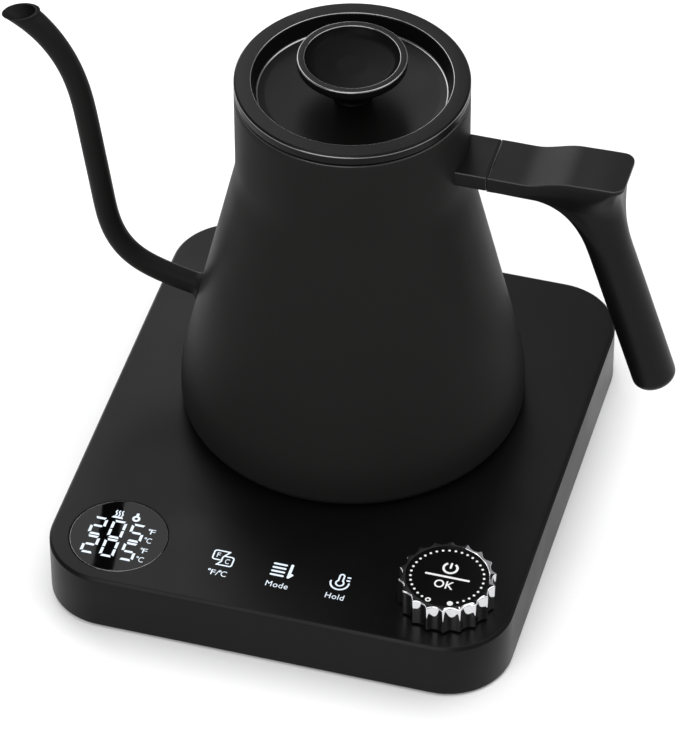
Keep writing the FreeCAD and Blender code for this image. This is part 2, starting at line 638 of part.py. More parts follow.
def heater():
    """Floor of the vessel with the sheathed element, the sensor and the dry-boil control."""
    sensor = [("sensor_x", "0")]
    plate = Piece("heater_plate", KETTLE)
    plate.pad(circles([("0", "0")], "body_radius - steel - 0.6"), "heater_z", "heater_thickness")
    plate.pocket(circles(sensor, "sensor_radius + 0.05"), "heater_z + heater_thickness",
                 "heater_thickness")
    spreader = Piece("heat_spreader", KETTLE)
    low = "heater_z - spreader_thickness"
    spreader.pad(circles([("0", "0")], "spreader_radius"), low, "spreader_thickness")
    spreader.pocket(circles(sensor, "sensor_radius + 0.05"), "heater_z", "spreader_thickness")
    ring = doc.addObject("Part::Torus", "element_torus")
    ring.setExpression("Radius1", bound("element_ring"))
    ring.setExpression("Radius2", bound("element_radius"))
    place(ring, KETTLE, dz=low + " - element_radius")
    keep(ring, "heating_element")
    keep(cylinder("dry_boil_control", KETTLE, "control_radius",
                  "heater_z - spreader_thickness - connector_top",
                  dz="connector_top"), "dry_boil_control")
    keep(cylinder("temperature_sensor", KETTLE, "sensor_radius",
                  "sensor_top - connector_top", "sensor_x", "0", "connector_top"),
         "temperature_sensor")
    keep(tube("sensor_seal", KETTLE, "seal_radius", "sensor_radius", "seal_height", "sensor_x",
              "0", "heater_z + heater_thickness"), "sensor_seal")


def kettle_underside():
    connector = Piece("kettle_connector", KETTLE)
    connector.revolve([
        ("connector_skirt", "collar_top + connector_clearance"),
        ("connector_radius", "collar_top + connector_clearance"),
        ("connector_radius", "connector_top"), ("0", "connector_top"),
        ("0", "connector_roof"), ("connector_skirt", "connector_roof")])
    pin_height = "connector_roof - pin_bottom"
    group("connector_pins", [
        cylinder("centre_pin", KETTLE, "pin_radius", pin_height, dz="pin_bottom"),
        tube("ring_blade", KETTLE, "blade_outer", "blade_inner", pin_height, dz="pin_bottom")])
    posts = [("kettle_screw_ring*cos(%d)" % angle, "kettle_screw_ring*sin(%d)" % angle)
             for angle in (60, 180, 300)]
    cover = Piece("kettle_bottom_cover", KETTLE)
    cover.pad(circles([("0", "0")], "bottom_rim - 0.2"), "kettle_cover_z",
              "kettle_cover_thickness")
    cover.pad(circles(posts, "boss_radius"), "kettle_cover_z + kettle_cover_thickness - 0.01",
              "heater_z - spreader_thickness - kettle_cover_z - kettle_cover_thickness + 0.01")
    cover.pocket(circles([("0", "0")], "connector_radius + 0.2"),
                 "kettle_cover_z + kettle_cover_thickness", "kettle_cover_thickness")
    post_top = "heater_z - spreader_thickness"
    cover.pocket(circles(posts, "screw_radius + 0.05"), post_top, post_top)
    cover.pocket(circles(posts, "head_radius + 0.1"), "kettle_cover_z + head_height",
                 "head_height")
    group("kettle_cover_screws", [
        screw("kettle_screw_%d" % index, KETTLE, x, y, "kettle_cover_z", "screw_radius",
              "head_radius", "head_height",
              "heater_z - spreader_thickness - kettle_cover_z - head_height")
        for index, (x, y) in enumerate(posts)])


def grip_section(height):
    """Inner reach, outer reach and half width of the grip's level section at a height.

    The inner side follows the leaning grip and then the arc that blends it into the arm's
    underside; the outer side flares towards the paddle's end, and the width grows with it.
    """
    lean = math.radians(value("grip_lean"))
    radius, blend = value("grip_radius"), value("grip_blend")

    def centre(z):
        return value("grip_end_x") - (z - value("grip_end_z")) * math.tan(lean)

    half = radius / math.cos(lean)
    inner, outer, width = centre(height) - half, centre(height) + half, radius
    arc_z = value("arm_top - arm_thickness") - blend
    arc_x = centre(arc_z) - half - blend / math.cos(lean)
    if height > arc_z + blend * math.sin(lean):
        rise = min(height - arc_z, blend)
        inner = arc_x + math.sqrt(max(blend ** 2 - rise ** 2, 0))
    share = max(0.0, (height - value("flare_z")) / (value("arm_top") - value("flare_z")))
    outer += value("paddle_flare") * share ** 2
    width += value("grip_shoulder") * share
    return inner, outer, width


def grip_solid():
    """The leaning oval grip, blended upwards into the arm and rounded at its lower end."""
    lean = value("grip_lean")
    tip = Vector(value("grip_end_x"), 0, value("grip_end_z"))
    underside = value("arm_top - arm_thickness")
    straight_top = underside - value("grip_blend")
    levels = [tip.z - 1.5 * value("grip_radius"), straight_top]
    for step in range(1, 10):
        levels.append(straight_top + value("grip_blend") * math.sin(step * math.pi / 20))
    levels += [underside, underside + 2, underside + 4, value("arm_top") - 1]
    sections = []
    for height in levels:
        inner, outer, width = grip_section(height)
        centre = Vector((inner + outer) / 2, 0, height)
        major = centre + Vector((outer - inner) / 2, 0, 0)
        ellipse = Part.Ellipse(major, centre + Vector(0, width, 0), centre)
        sections.append(Part.Wire(ellipse.toShape()))
    solid = Part.makeLoft(sections, True, True)
    below = slab_above(tip, 180 - lean)
    solid = solid.cut(below)
    rim = [edge for edge in solid.Edges if edge.BoundBox.ZMax < tip.z + value("grip_radius")
           and edge.Length > value("grip_radius") * 2]
    return solid.makeFillet(value("grip_end_round"), rim)


def handle(outside):
    """Bracket block on the neck, and the moulded arm, thumb rest and grip."""
    underside = "arm_top - arm_thickness"
    raw = Piece("bracket_block", KETTLE, finished=False)
    raw.pad(rectangle("(seam_x + bracket_root_x)/2", "0", "seam_x - bracket_root_x",
                      "arm_width"), underside, "arm_thickness")
    insert_z = "arm_top - arm_thickness/2 - insert_thickness/2"
    insert_x = "(insert_start_x + insert_end_x)/2"
    insert_length = "insert_end_x - insert_start_x"
    strip = keep(block("handle_insert", KETTLE, insert_length, "insert_width",
                       "insert_thickness", insert_x, "0", insert_z), "handle_insert")
    keep(cut("handle_bracket", raw.body, fuse("bracket_tools", outside, strip)),
         "handle_bracket")
    arm = Piece("arm", KETTLE, finished=False)
    sketch = arm.sketch("XZ_Plane")
    polygon(sketch, [
        ("seam_x + seam_gap", underside), ("dip_start_x + 5", underside),
        ("paddle_start_x + 5", underside + " + 1"),
        ("paddle_end_x", "paddle_top - paddle_edge"), ("paddle_end_x", "paddle_top"),
        ("paddle_start_x", "paddle_top"), ("dip_start_x", "arm_top"),
        ("seam_x + seam_gap", "arm_top")])
    plate = arm.feature("Pad", sketch)
    plate.setExpression("Length", bound("arm_width"))
    plate.Midplane = True
    doc.recompute()
    arm.dress("Fillet", lambda edge: upright(edge)
              and edge.Vertexes[0].X > value("paddle_end_x") - 0.1, "paddle_corner")
    for corner_x, corner_z in (("dip_start_x", "arm_top"), ("paddle_start_x", "paddle_top")):
        arm.dress("Fillet", lambda edge: level(value(corner_z))(edge)
                  and abs(edge.BoundBox.XMax - value(corner_x)) < 0.01
                  and abs(edge.BoundBox.XMin - value(corner_x)) < 0.01, "dip_blend")
    grip = shaped("grip_loft", grip_solid(), KETTLE)
    places = [("handle_screw_x", "0"), ("handle_screw_x + handle_screw_pitch", "0")]
    tools = [strip]
    for index, (x, y) in enumerate(places):
        tools.append(cylinder("grip_hole_%d" % index, KETTLE, "screw_radius", "arm_thickness/2",
                              x, y, underside))
        tools.append(cylinder("grip_recess_%d" % index, KETTLE, "head_radius + 0.1",
                              "head_height + recess_depth", x, y,
                              underside + " - recess_depth"))
    moulding = fuse("grip_moulding", arm.body, grip)
    keep(cut("handle_grip", moulding, fuse("grip_tools", *tools)), "handle_grip")
    group("handle_screws", [
        screw("handle_screw_%d" % index, KETTLE, x, y, underside, "screw_radius",
              "head_radius", "head_height",
              "arm_thickness/2 - insert_thickness/2 - head_height")
        for index, (x, y) in enumerate(places)])


# ---------------------------------------------------------------- lid

def lid():
    shell = Piece("lid_shell", KETTLE)
    low = "lid_top - lid_band"
    floor = "lid_top - well_depth"
    centre_floor = floor + " - well_dish"
    shell.revolve([
        ("0", centre_floor), ("well_floor_radius*0.5", floor + " - well_dish*0.75"),
        ("well_floor_radius", floor), ("well_radius", "lid_top"), ("neck_radius", "lid_top"),
        ("neck_radius", low), ("plug_radius", low), ("plug_radius", "gasket_z + gasket_height"),
        ("plug_radius - gasket_depth", "gasket_z + gasket_height"),
        ("plug_radius - gasket_depth", "gasket_z"), ("plug_radius", "gasket_z"),
        ("plug_radius", "plug_bottom"), ("plug_radius - gasket_depth - lid_skin", "plug_bottom"),
        ("plug_radius - gasket_depth - lid_skin", floor + " - lid_skin - 1"),
        ("knob_foot_radius", centre_floor + " - lid_skin"), ("0", centre_floor + " - lid_skin")])
    rims = (value("lid_top"), value(low))
    outer = 2 * math.pi * value("neck_radius")
    for height in rims:
        shell.dress("Chamfer", level(height, outer - 1, outer + 1), "lid_edge")
    shell.pocket(circles([("0", "0")], "knob_screw_radius + 0.1"), floor, "well_dish + lid_skin + 2")
    keep(tube("lid_gasket", KETTLE, "gasket_radius", "plug_radius - gasket_depth",
              "gasket_height", dz="gasket_z"), "lid_gasket")
    keep(cylinder("lid_inner_plate", KETTLE, "plug_radius - gasket_depth - lid_skin - 0.1",
                  "inner_plate_thickness", dz="plug_bottom"), "lid_inner_plate")


def knob():
    """Shallow dish with a rounded lip, on a stem that is held by a screw from below."""
    seat = "lid_top - well_depth - well_dish"
    piece = Piece("lid_knob", KETTLE)
    piece.revolve([
        ("0", seat + " + knob_seat"), ("knob_foot_radius - 1", seat + " + knob_seat"),
        ("knob_stem_radius", seat + " + 3"), ("knob_stem_radius", "knob_bowl_bottom"),
        ("knob_stem_radius + 6", "knob_bowl_bottom + 1.8"),
        ("knob_radius - 3", "knob_top - knob_rim_height - 3.2"),
        ("knob_radius", "knob_top - knob_rim_height"), ("knob_radius", "knob_top"),
        ("knob_radius - knob_lip", "knob_top"),
        ("knob_radius - knob_lip - 1.6", "knob_top - 3.0"),
        ("knob_radius*0.5", "knob_top - knob_dish + 0.35"), ("0", "knob_top - knob_dish")])
    piece.pocket(circles([("0", "0")], "knob_screw_radius"), "knob_bowl_bottom",
                 "knob_bowl_bottom - lid_top + well_depth + well_dish")
    under = "lid_top - well_depth - well_dish - lid_skin"
    keep(tube("knob_washer", KETTLE, "knob_washer_radius", "knob_screw_radius",
              "knob_washer_thickness", dz=under + " - knob_washer_thickness"), "knob_washer")
    keep(screw("knob_screw", KETTLE, "0", "0", under + " - knob_washer_thickness - head_height",
               "knob_screw_radius", "knob_head_radius", "head_height", "knob_screw_length"),
         "knob_screw")


base_top_housing()
base_bottom_cover()
base_hardware()
display()
boards()
encoder()
dial()
cord_entry()
connector_socket()
handle(vessel_and_spout())
heater()
kettle_underside()
lid()
knob()

doc.recompute()
for item in doc.Objects:
    if any(state in ("Invalid", "Error") for state in item.State):
        raise RuntimeError("%s is %s" % (item.Label, item.State))
os.makedirs("parts", exist_ok=True)
for name, item in nodes:
    if item.Shape.isNull() or not item.Shape.isValid():
        raise RuntimeError("%s has no valid shape" % name)
    item.Shape.exportStep("parts/%s.step" % name)
    print("%-22s %2d solid(s) %10.1f mm3" % (name, len(item.Shape.Solids), item.Shape.Volume))
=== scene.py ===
import json
import math

import bpy
import bmesh
from mathutils import Matrix, Vector


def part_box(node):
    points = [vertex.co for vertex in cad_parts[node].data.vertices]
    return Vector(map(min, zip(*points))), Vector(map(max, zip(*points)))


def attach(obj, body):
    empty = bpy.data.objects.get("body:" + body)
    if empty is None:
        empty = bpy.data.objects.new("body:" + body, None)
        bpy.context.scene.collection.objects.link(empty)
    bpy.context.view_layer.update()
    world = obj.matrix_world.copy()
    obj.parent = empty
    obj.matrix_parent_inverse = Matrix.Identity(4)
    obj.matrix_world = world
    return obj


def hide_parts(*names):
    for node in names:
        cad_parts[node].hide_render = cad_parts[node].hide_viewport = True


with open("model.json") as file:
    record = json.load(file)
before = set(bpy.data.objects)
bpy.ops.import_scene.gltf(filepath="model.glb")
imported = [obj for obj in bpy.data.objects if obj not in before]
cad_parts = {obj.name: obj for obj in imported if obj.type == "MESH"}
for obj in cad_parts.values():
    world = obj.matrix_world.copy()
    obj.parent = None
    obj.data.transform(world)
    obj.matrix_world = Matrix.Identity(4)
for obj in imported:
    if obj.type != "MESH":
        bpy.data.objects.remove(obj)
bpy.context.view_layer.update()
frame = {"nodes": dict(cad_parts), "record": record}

MM = 0.001


# ---------------------------------------------------------------- places, all from the frame

def middle(node):
    low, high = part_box(node)
    return (low + high) / 2


def millimetres(point):
    return Vector(point) / MM


BASE_LOW, BASE_HIGH = (millimetres(corner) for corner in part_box("base_top_housing"))
BASE_X = (BASE_LOW.x + BASE_HIGH.x) / 2
BASE_Y = (BASE_LOW.y + BASE_HIGH.y) / 2
TOP = BASE_HIGH.z
KETTLE_Y = millimetres(middle("lid_shell")).y
WINDOW = millimetres(middle("display_window"))
DIAL = millimetres(middle("dial_face"))
DIAL_TOP = millimetres(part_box("dial_ring")[1]).z
DIAL_LOW = millimetres(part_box("dial_ring")[0]).z
BASE_SPOT = (BASE_X, BASE_Y, 0.0)
KETTLE_SPOT = (BASE_X, KETTLE_Y, TOP)


# ---------------------------------------------------------------- materials

def feed(tree, target, sockets):
    """Give each named socket of a node its value, or a link where the value is an output."""
    for name, value in sockets.items():
        if isinstance(value, bpy.types.NodeSocket):
            tree.links.new(value, target.inputs[name])
        else:
            target.inputs[name].default_value = value


def joined(tree, kind, sockets, **settings):
    """A new node of one kind with its settings made and its sockets fed."""
    made = tree.nodes.new("ShaderNode" + kind)
    for name, value in settings.items():
        setattr(made, name, value)
    feed(tree, made, sockets)
    return made


def shader(name, base, roughness, metallic=0.0, specular=0.5):
    """A Principled material whose constant values sit on its own sockets."""
    material = bpy.data.materials.new(name)
    material.use_nodes = True
    tree = material.node_tree
    surface = tree.nodes["Principled BSDF"]
    feed(tree, surface, {"Base Color": (*base, 1.0), "Roughness": roughness,
                         "Metallic": metallic, "Specular IOR Level": specular})
    return material, tree, surface


def noise(tree, scale, detail=2.0, stretch=(1.0, 1.0, 1.0)):
    """Noise laid over object coordinates, which are metres of the row frame."""
    where = joined(tree, "TexCoord", {}).outputs["Object"]
    placed = joined(tree, "Mapping", {"Scale": stretch, "Vector": where}).outputs["Vector"]
    sockets = {"Scale": scale, "Detail": detail, "Vector": placed}
    return joined(tree, "TexNoise", sockets).outputs["Fac"]


def ranged(tree, source, low, high, source_low=0.3, source_high=0.7):
    """Spread a 0 to 1 signal over a range of values."""
    sockets = {"From Min": source_low, "From Max": source_high, "To Min": low, "To Max": high,
               "Value": source}
    return joined(tree, "MapRange", sockets).outputs["Result"]


def tinted(tree, factor, first, second):
    """Blend of two colours by a signal."""
    sockets = {"A": (*first, 1.0), "B": (*second, 1.0), "Factor": factor}
    return joined(tree, "Mix", sockets, data_type="RGBA").outputs["Result"]


def bumped(tree, surface, signal, distance, strength):
    """Small relief from a signal; distance is its height in millimetres."""
    sockets = {"Distance": distance * MM, "Strength": strength, "Height": signal}
    feed(tree, surface, {"Normal": joined(tree, "Bump", sockets).outputs["Normal"]})


def worn(tree):
    """Signal that is 1 on convex edges and 0 elsewhere, for light wear."""
    pointed = joined(tree, "NewGeometry", {}).outputs["Pointiness"]
    return ranged(tree, pointed, 0.0, 1.0, 0.51, 0.6)


def grained(name, base, roughness, grain, depth, patch=0.05, wear=0.35, specular=0.5,
            metallic=0.0, light=1.8):
    """Moulded or coated finish: fine grain, drifting roughness and slightly paler worn edges.

    grain is the size of one grain and depth its height, both in millimetres.
    """
    material, tree, surface = shader(name, base, roughness, metallic, specular)
    fine = noise(tree, 1.0 / (grain * MM), 3.0)
    drift = noise(tree, 28.0)
    pale = tuple(min(1.0, channel * light + 0.004) for channel in base)
    wears = {0: worn(tree), 1: ranged(tree, drift, wear * 0.3, wear)}
    amount = joined(tree, "Math", wears, operation="MULTIPLY").outputs[0]
    feed(tree, surface, {"Roughness": ranged(tree, drift, roughness - patch, roughness + patch),
                         "Base Color": tinted(tree, amount, base, pale)})
    bumped(tree, surface, fine, depth, 0.5)
    return material


def brushed(name, base, roughness, stretch):
    """Metal with fine lines drawn out along one direction."""
    material, tree, surface = shader(name, base, roughness, metallic=1.0)
    lines = noise(tree, 900.0, 2.0, stretch)
    cloud = ranged(tree, noise(tree, 40.0), 0.0, 1.0)
    dull = tuple(channel * 0.82 for channel in base)
    feed(tree, surface, {"Roughness": ranged(tree, lines, roughness - 0.06, roughness + 0.08),
                         "Base Color": tinted(tree, cloud, dull, base)})
    bumped(tree, surface, lines, 0.01, 0.35)
    return material


def polished(name, base, roughness):
    """Plated metal: nearly mirror-like, with faint polishing waves."""
    material, tree, surface = shader(name, base, roughness, metallic=1.0)
    cloud = noise(tree, 60.0, 3.0)
    feed(tree, surface, {"Roughness": ranged(tree, cloud, roughness * 0.7, roughness * 1.6)})
    bumped(tree, surface, noise(tree, 220.0), 0.02, 0.12)
    return material


def glossy(name, base, roughness, specular):
    """Smooth hard window with faint wiping marks."""
    material, tree, surface = shader(name, base, roughness, specular=specular)
    marks = noise(tree, 90.0, 4.0, (1.0, 3.0, 1.0))
    pale = tuple(channel * 1.3 for channel in base)
    tint = tinted(tree, ranged(tree, marks, 0.0, 1.0), base, pale)
    feed(tree, surface, {"Roughness": ranged(tree, marks, roughness * 0.6, roughness * 1.8),
                         "Base Color": tint})
    return material


def glowing(name, colour, strength, spread):
    """Glowing print, backlit on the display and keys and a painted glow on the dial's ink: its
    brightness varies a little, as light does behind a diffuser.
    """
    material, tree, surface = shader(name, (0.14, 0.14, 0.14), 0.45)
    cells = noise(tree, 700.0, 1.0)
    glow = ranged(tree, cells, strength - spread, strength + spread)
    feed(tree, surface, {"Emission Color": (*colour, 1.0), "Emission Strength": glow})
    bumped(tree, surface, cells, 0.005, 0.2)
    return material


LOOKS = {
    "black_housing": grained("satin_black_housing", (0.0026, 0.0026, 0.0027), 0.33, 0.30, 0.006,
                             specular=0.115),
    "black_coating": grained("black_powder_coating", (0.0138, 0.0138, 0.0135), 0.42, 0.42, 0.010,
                             wear=0.25, specular=0.02),
    "grip_plastic": grained("soft_black_moulding", (0.0028, 0.0028, 0.0027), 0.36, 0.34, 0.008,
                            specular=0.135),
    "black_rubber": grained("black_rubber_grain", (0.010, 0.010, 0.010), 0.75, 0.5, 0.02,
                            specular=0.3),
    "silicone": grained("grey_silicone", (0.26, 0.26, 0.26), 0.5, 0.6, 0.01, light=1.2),
    "window": glossy("smoked_window", (0.0012, 0.0012, 0.0014), 0.03, 0.13),
    "display": grained("display_block", (0.05, 0.05, 0.055), 0.5, 0.4, 0.01),
    "board": grained("green_solder_mask", (0.012, 0.10, 0.045), 0.3, 0.8, 0.01, light=1.3),
    "component": grained("moulded_component", (0.035, 0.035, 0.04), 0.45, 0.4, 0.01),
    "spring_steel": brushed("plated_spring", (0.60, 0.60, 0.58), 0.3, (1.0, 1.0, 12.0)),
    "fastener": brushed("zinc_plated_steel", (0.58, 0.58, 0.60), 0.32, (1.0, 1.0, 8.0)),
    "steel": brushed("brushed_stainless", (0.60, 0.60, 0.61), 0.3, (1.0, 1.0, 14.0)),
    "aluminium": grained("cast_aluminium", (0.62, 0.62, 0.64), 0.42, 0.7, 0.03, metallic=1.0,
                         light=1.1),
    "brass": brushed("turned_brass", (0.72, 0.53, 0.24), 0.26, (1.0, 1.0, 10.0)),
    "encoder_plastic": grained("natural_nylon", (0.70, 0.70, 0.66), 0.5, 0.5, 0.01, light=1.05),
    "dial_chrome": polished("bright_chrome", (0.66, 0.66, 0.68), 0.05),
    "dial_face": grained("dial_satin_black", (0.0022, 0.0022, 0.0024), 0.30, 0.25, 0.004,
                         specular=0.10),
}
LID_COATING = grained("black_lid_coating", (0.0026, 0.0026, 0.0025), 0.36, 0.40, 0.008,
                      wear=0.25, specular=0.11)
DISH_COATING = grained("black_knob_dish", (0.0030, 0.0030, 0.0030), 0.34, 0.40, 0.008,
                       wear=0.1, specular=0.03)
# Bright metal laid on chosen fillets: a painted highlight for the light lines along the coated
# edges, not worn metal.
PAINTED_EDGE_HIGHLIGHT = polished("painted_edge_highlight_metal", (0.26, 0.26, 0.26), 0.16)
GLOW = glowing("white_backlight", (0.78, 0.89, 1.0), 0.95, 0.08)
# The dial's white print is made to give off light: a painted glow on printed marks.
INK = glowing("white_ink_painted_glow", (1.0, 1.0, 1.0), 0.72, 0.05)
# Glossier and paler copy of the grip moulding for the eased edges: partly a real glossier edge,
# partly a painted highlight line.
PAINTED_GRIP_EDGE_HIGHLIGHT = grained("grip_edge_painted_highlight", (0.009, 0.009, 0.0088), 0.24, 0.30, 0.004, patch=0.03,
                    specular=0.42)
RIM_COATING = grained("black_rim_coating", (0.012, 0.012, 0.012), 0.22, 0.30, 0.004, patch=0.03,
                      specular=0.5)
SPOUT_COATING = grained("black_spout_coating", (0.0100, 0.0100, 0.0098), 0.42, 0.42, 0.010,
                        wear=0.25, specular=0.04)

for part in frame["record"]["subparts"]:
    carried = frame["nodes"][part["node"]]
    carried.data.materials.clear()
    carried.data.materials.append(LOOKS[part["material_slot"]])


# ---------------------------------------------------------------- mesh helpers, in millimetres

def placed(name, data):
    """A new object in the scene that carries the given data."""
    item = bpy.data.objects.new(name, data)
    bpy.context.scene.collection.objects.link(item)
    return item


def mesh_from(name, bm):
    """A new mesh with a bmesh's shape; the bmesh is freed."""
    mesh = bpy.data.meshes.new(name)
    bm.to_mesh(mesh)
    bm.free()
    return mesh


def finished(name, bm, body, slot, sharp=32.0, materials=None, replaces=(), merge=True):
    """Turn a bmesh in millimetres into a piece that rides on a body."""
    if merge:
        bmesh.ops.remove_doubles(bm, verts=bm.verts, dist=1e-4)
    bmesh.ops.recalc_face_normals(bm, faces=bm.faces)
    mesh = mesh_from(name, bm)
    mesh.transform(Matrix.Scale(MM, 4))
    mesh.polygons.foreach_set("use_smooth", [True] * len(mesh.polygons))
    mesh.set_sharp_from_angle(angle=math.radians(sharp))
    item = placed(name, mesh)
    for material in materials or [LOOKS[slot]]:
        mesh.materials.append(material)
    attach(item, body)
    if replaces:
        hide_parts(*replaces)
    return item


def cut_hole(item, start, end, radius, segments=48):
    """Cut a round hole through a finished piece along a line given in millimetres."""
    start, end = Vector(start), Vector(end)
    bm = bmesh.new()
    bmesh.ops.create_cone(bm, cap_ends=True, segments=segments, radius1=radius * MM,
                          radius2=radius * MM, depth=(end - start).length * MM)
    turn = (end - start).to_track_quat("Z", "Y").to_matrix().to_4x4()
    bm.transform(Matrix.Translation((start + end) / 2 * MM) @ turn)
    mesh = mesh_from("cutter", bm)
    cutter = placed("cutter", mesh)
    change = item.modifiers.new("hole", "BOOLEAN")
    change.operation = "DIFFERENCE"
    change.solver = "EXACT"
    change.object = cutter
    bpy.context.view_layer.update()
    seen = item.evaluated_get(bpy.context.evaluated_depsgraph_get())
    result = bpy.data.meshes.new_from_object(seen)
    item.modifiers.clear()
    item.data = result
    bpy.data.objects.remove(cutter)
    bpy.data.meshes.remove(mesh)


def eased(outline, steps=4, marks=None):
    """Round the corners of an open outline; each corner is (r, z) or (r, z, fillet radius).

    A corner with a fourth value has a fillet that carries the painted edge highlight: the numbers
    of the spans that make it are added to marks.
    """
    points = [Vector(corner[:2]) for corner in outline]
    result = []
    for index, corner in enumerate(outline):
        radius = corner[2] if len(corner) > 2 else 0.0
        here = points[index]
        if not radius or index in (0, len(outline) - 1):
            result.append(here)
            continue
        back, ahead = points[index - 1] - here, points[index + 1] - here
        turn = back.angle(ahead)
        reach = min(radius / math.tan(turn / 2), back.length * 0.49, ahead.length * 0.49)
        radius = reach * math.tan(turn / 2)
        centre = here + (back.normalized() + ahead.normalized()).normalized() * (
            radius / math.sin(turn / 2))
        first, last = here + back.normalized() * reach, here + ahead.normalized() * reach
        start, end = first - centre, last - centre
        sweep = start.angle_signed(end)
        if marks is not None and len(corner) > 3:
            marks.update(range(len(result), len(result) + steps))
        for step in range(steps + 1):
            angle = -sweep * step / steps
            spun = Vector((start.x * math.cos(angle) - start.y * math.sin(angle),
                           start.x * math.sin(angle) + start.y * math.cos(angle)))
            result.append(centre + spun)
    return result


def lathe(bm, outline, spot, segments=160, shape=None, closed=False):
    """Turn (r, z) points about the vertical line through spot; shape may change r by angle."""
    rings = []
    for r, z in outline:
        if r < 1e-6:
            rings.append([bm.verts.new((spot[0], spot[1], spot[2] + z))])
            continue
        ring = []
        for step in range(segments):
            angle = 2 * math.pi * step / segments
            reach = shape(r, z, angle) if shape else r
            ring.append(bm.verts.new((spot[0] + reach * math.cos(angle),
                                      spot[1] + reach * math.sin(angle), spot[2] + z)))
        rings.append(ring)
    pairs = list(zip(rings, rings[1:]))
    if closed:
        pairs.append((rings[-1], rings[0]))
    faces = []
    for lower, upper in pairs:
        for step in range(segments):
            following = (step + 1) % segments
            corners = [ring[place % len(ring)] for ring, place in
                       ((lower, step), (lower, following), (upper, following), (upper, step))]
            faces.append(bm.faces.new(list(dict.fromkeys(corners))))
    return rings, faces


def turned(name, outline, spot, body, slot, segments=160, steps=4, main=None, dish=None,
           **more):
    """A lathe piece straight from an outline with fillets; marked fillets get bright metal as a
    painted edge highlight.

    dish is (radius, height, material) for the faces inside that radius and above that height.
    """
    bm = bmesh.new()
    marks = set()
    points = eased(outline, steps, marks)
    for span in range(len(points) - 1):
        faces = lathe(bm, points[span:span + 2], spot, segments)[1]
        middle_span = (points[span] + points[span + 1]) / 2
        for face in faces:
            # spans of marked fillets take the painted edge highlight
            face.material_index = 1 if span in marks else 0
            if dish and middle_span.x < dish[0] and middle_span.y > dish[1]:
                face.material_index = 2
    materials = [main or LOOKS[slot]] + ([PAINTED_EDGE_HIGHLIGHT] if marks else [])
    if dish:
        materials.append(dish[2])
    return finished(name, bm, body, slot, materials=materials, **more)


def smooth(value):
    value = min(1.0, max(0.0, value))
    return value * value * (3 - 2 * value)


def bridge(bm, lower, upper, closed=True):
    count = len(lower)
    faces = []
    for step in range(count if closed else count - 1):
        following = (step + 1) % count
        faces.append(bm.faces.new((lower[step], lower[following], upper[following],
                                   upper[step])))
    return faces


def skin(bm, rings):
    """Bridge each ring to the next; the faces come back span by span."""
    return [bridge(bm, lower, upper) for lower, upper in zip(rings, rings[1:])]


def rounded_loop(half_x, half_y, corner, segments=16, sides=6):
    """Counter-clockwise outline of a rounded rectangle about the origin."""
    points = []
    centres = [(1, -1, -90), (1, 1, 0), (-1, 1, 90), (-1, -1, 180)]
    for sign_x, sign_y, start in centres:
        centre = Vector((sign_x * (half_x - corner), sign_y * (half_y - corner)))
        for step in range(segments + 1):
            angle = math.radians(start + 90.0 * step / segments)
            points.append(centre + Vector((math.cos(angle), math.sin(angle))) * corner)
    full = []
    for index, point in enumerate(points):
        full.append(point)
        following = points[(index + 1) % len(points)]
        if (following - point).length > 4 * corner / segments:
            for step in range(1, sides):
                full.append(point.lerp(following, step / sides))
    return full


def circle_loop(centre, radius, segments=128):
    return [Vector((centre[0] + radius * math.cos(2 * math.pi * step / segments),
                    centre[1] + radius * math.sin(2 * math.pi * step / segments)))
            for step in range(segments)]


def raised(bm, loop, z, spot):
    return [bm.verts.new((spot[0] + point[0], spot[1] + point[1], spot[2] + z))
            for point in loop]


def fill_between(bm, loops):
    """Fill the flat region between an outer loop and the holes in it."""
    edges = []
    for loop in loops:
        for first, second in zip(loop, loop[1:] + loop[:1]):
            edges.append(bm.edges.get((first, second)) or bm.edges.new((first, second)))
    bmesh.ops.triangle_fill(bm, use_beauty=True, use_dissolve=False, edges=edges)


# ---------------------------------------------------------------- base

HALF_X = (BASE_HIGH.x - BASE_LOW.x) / 2
HALF_Y = (BASE_HIGH.y - BASE_LOW.y) / 2
CORNER = 26.3
WALL = 2.5
FOOT = BASE_LOW.z
CEILING = TOP - WALL
WINDOW_SPOT = (WINDOW.x - BASE_X, WINDOW.y - BASE_Y)
DIAL_SPOT = (DIAL.x - BASE_X, DIAL.y - BASE_Y)
KETTLE_PLACE = (0.0, KETTLE_Y - BASE_Y)
WINDOW_RADIUS = 19.8
WINDOW_LEDGE = 18.2
WINDOW_DEPTH = 1.5
COLLAR_OPENING = 23.9
BUSH_OPENING = 3.6
EDGE = 1.0
GLAND_HEIGHT = millimetres(middle("cord_gland")).z
GLAND_OPENING = 5.9


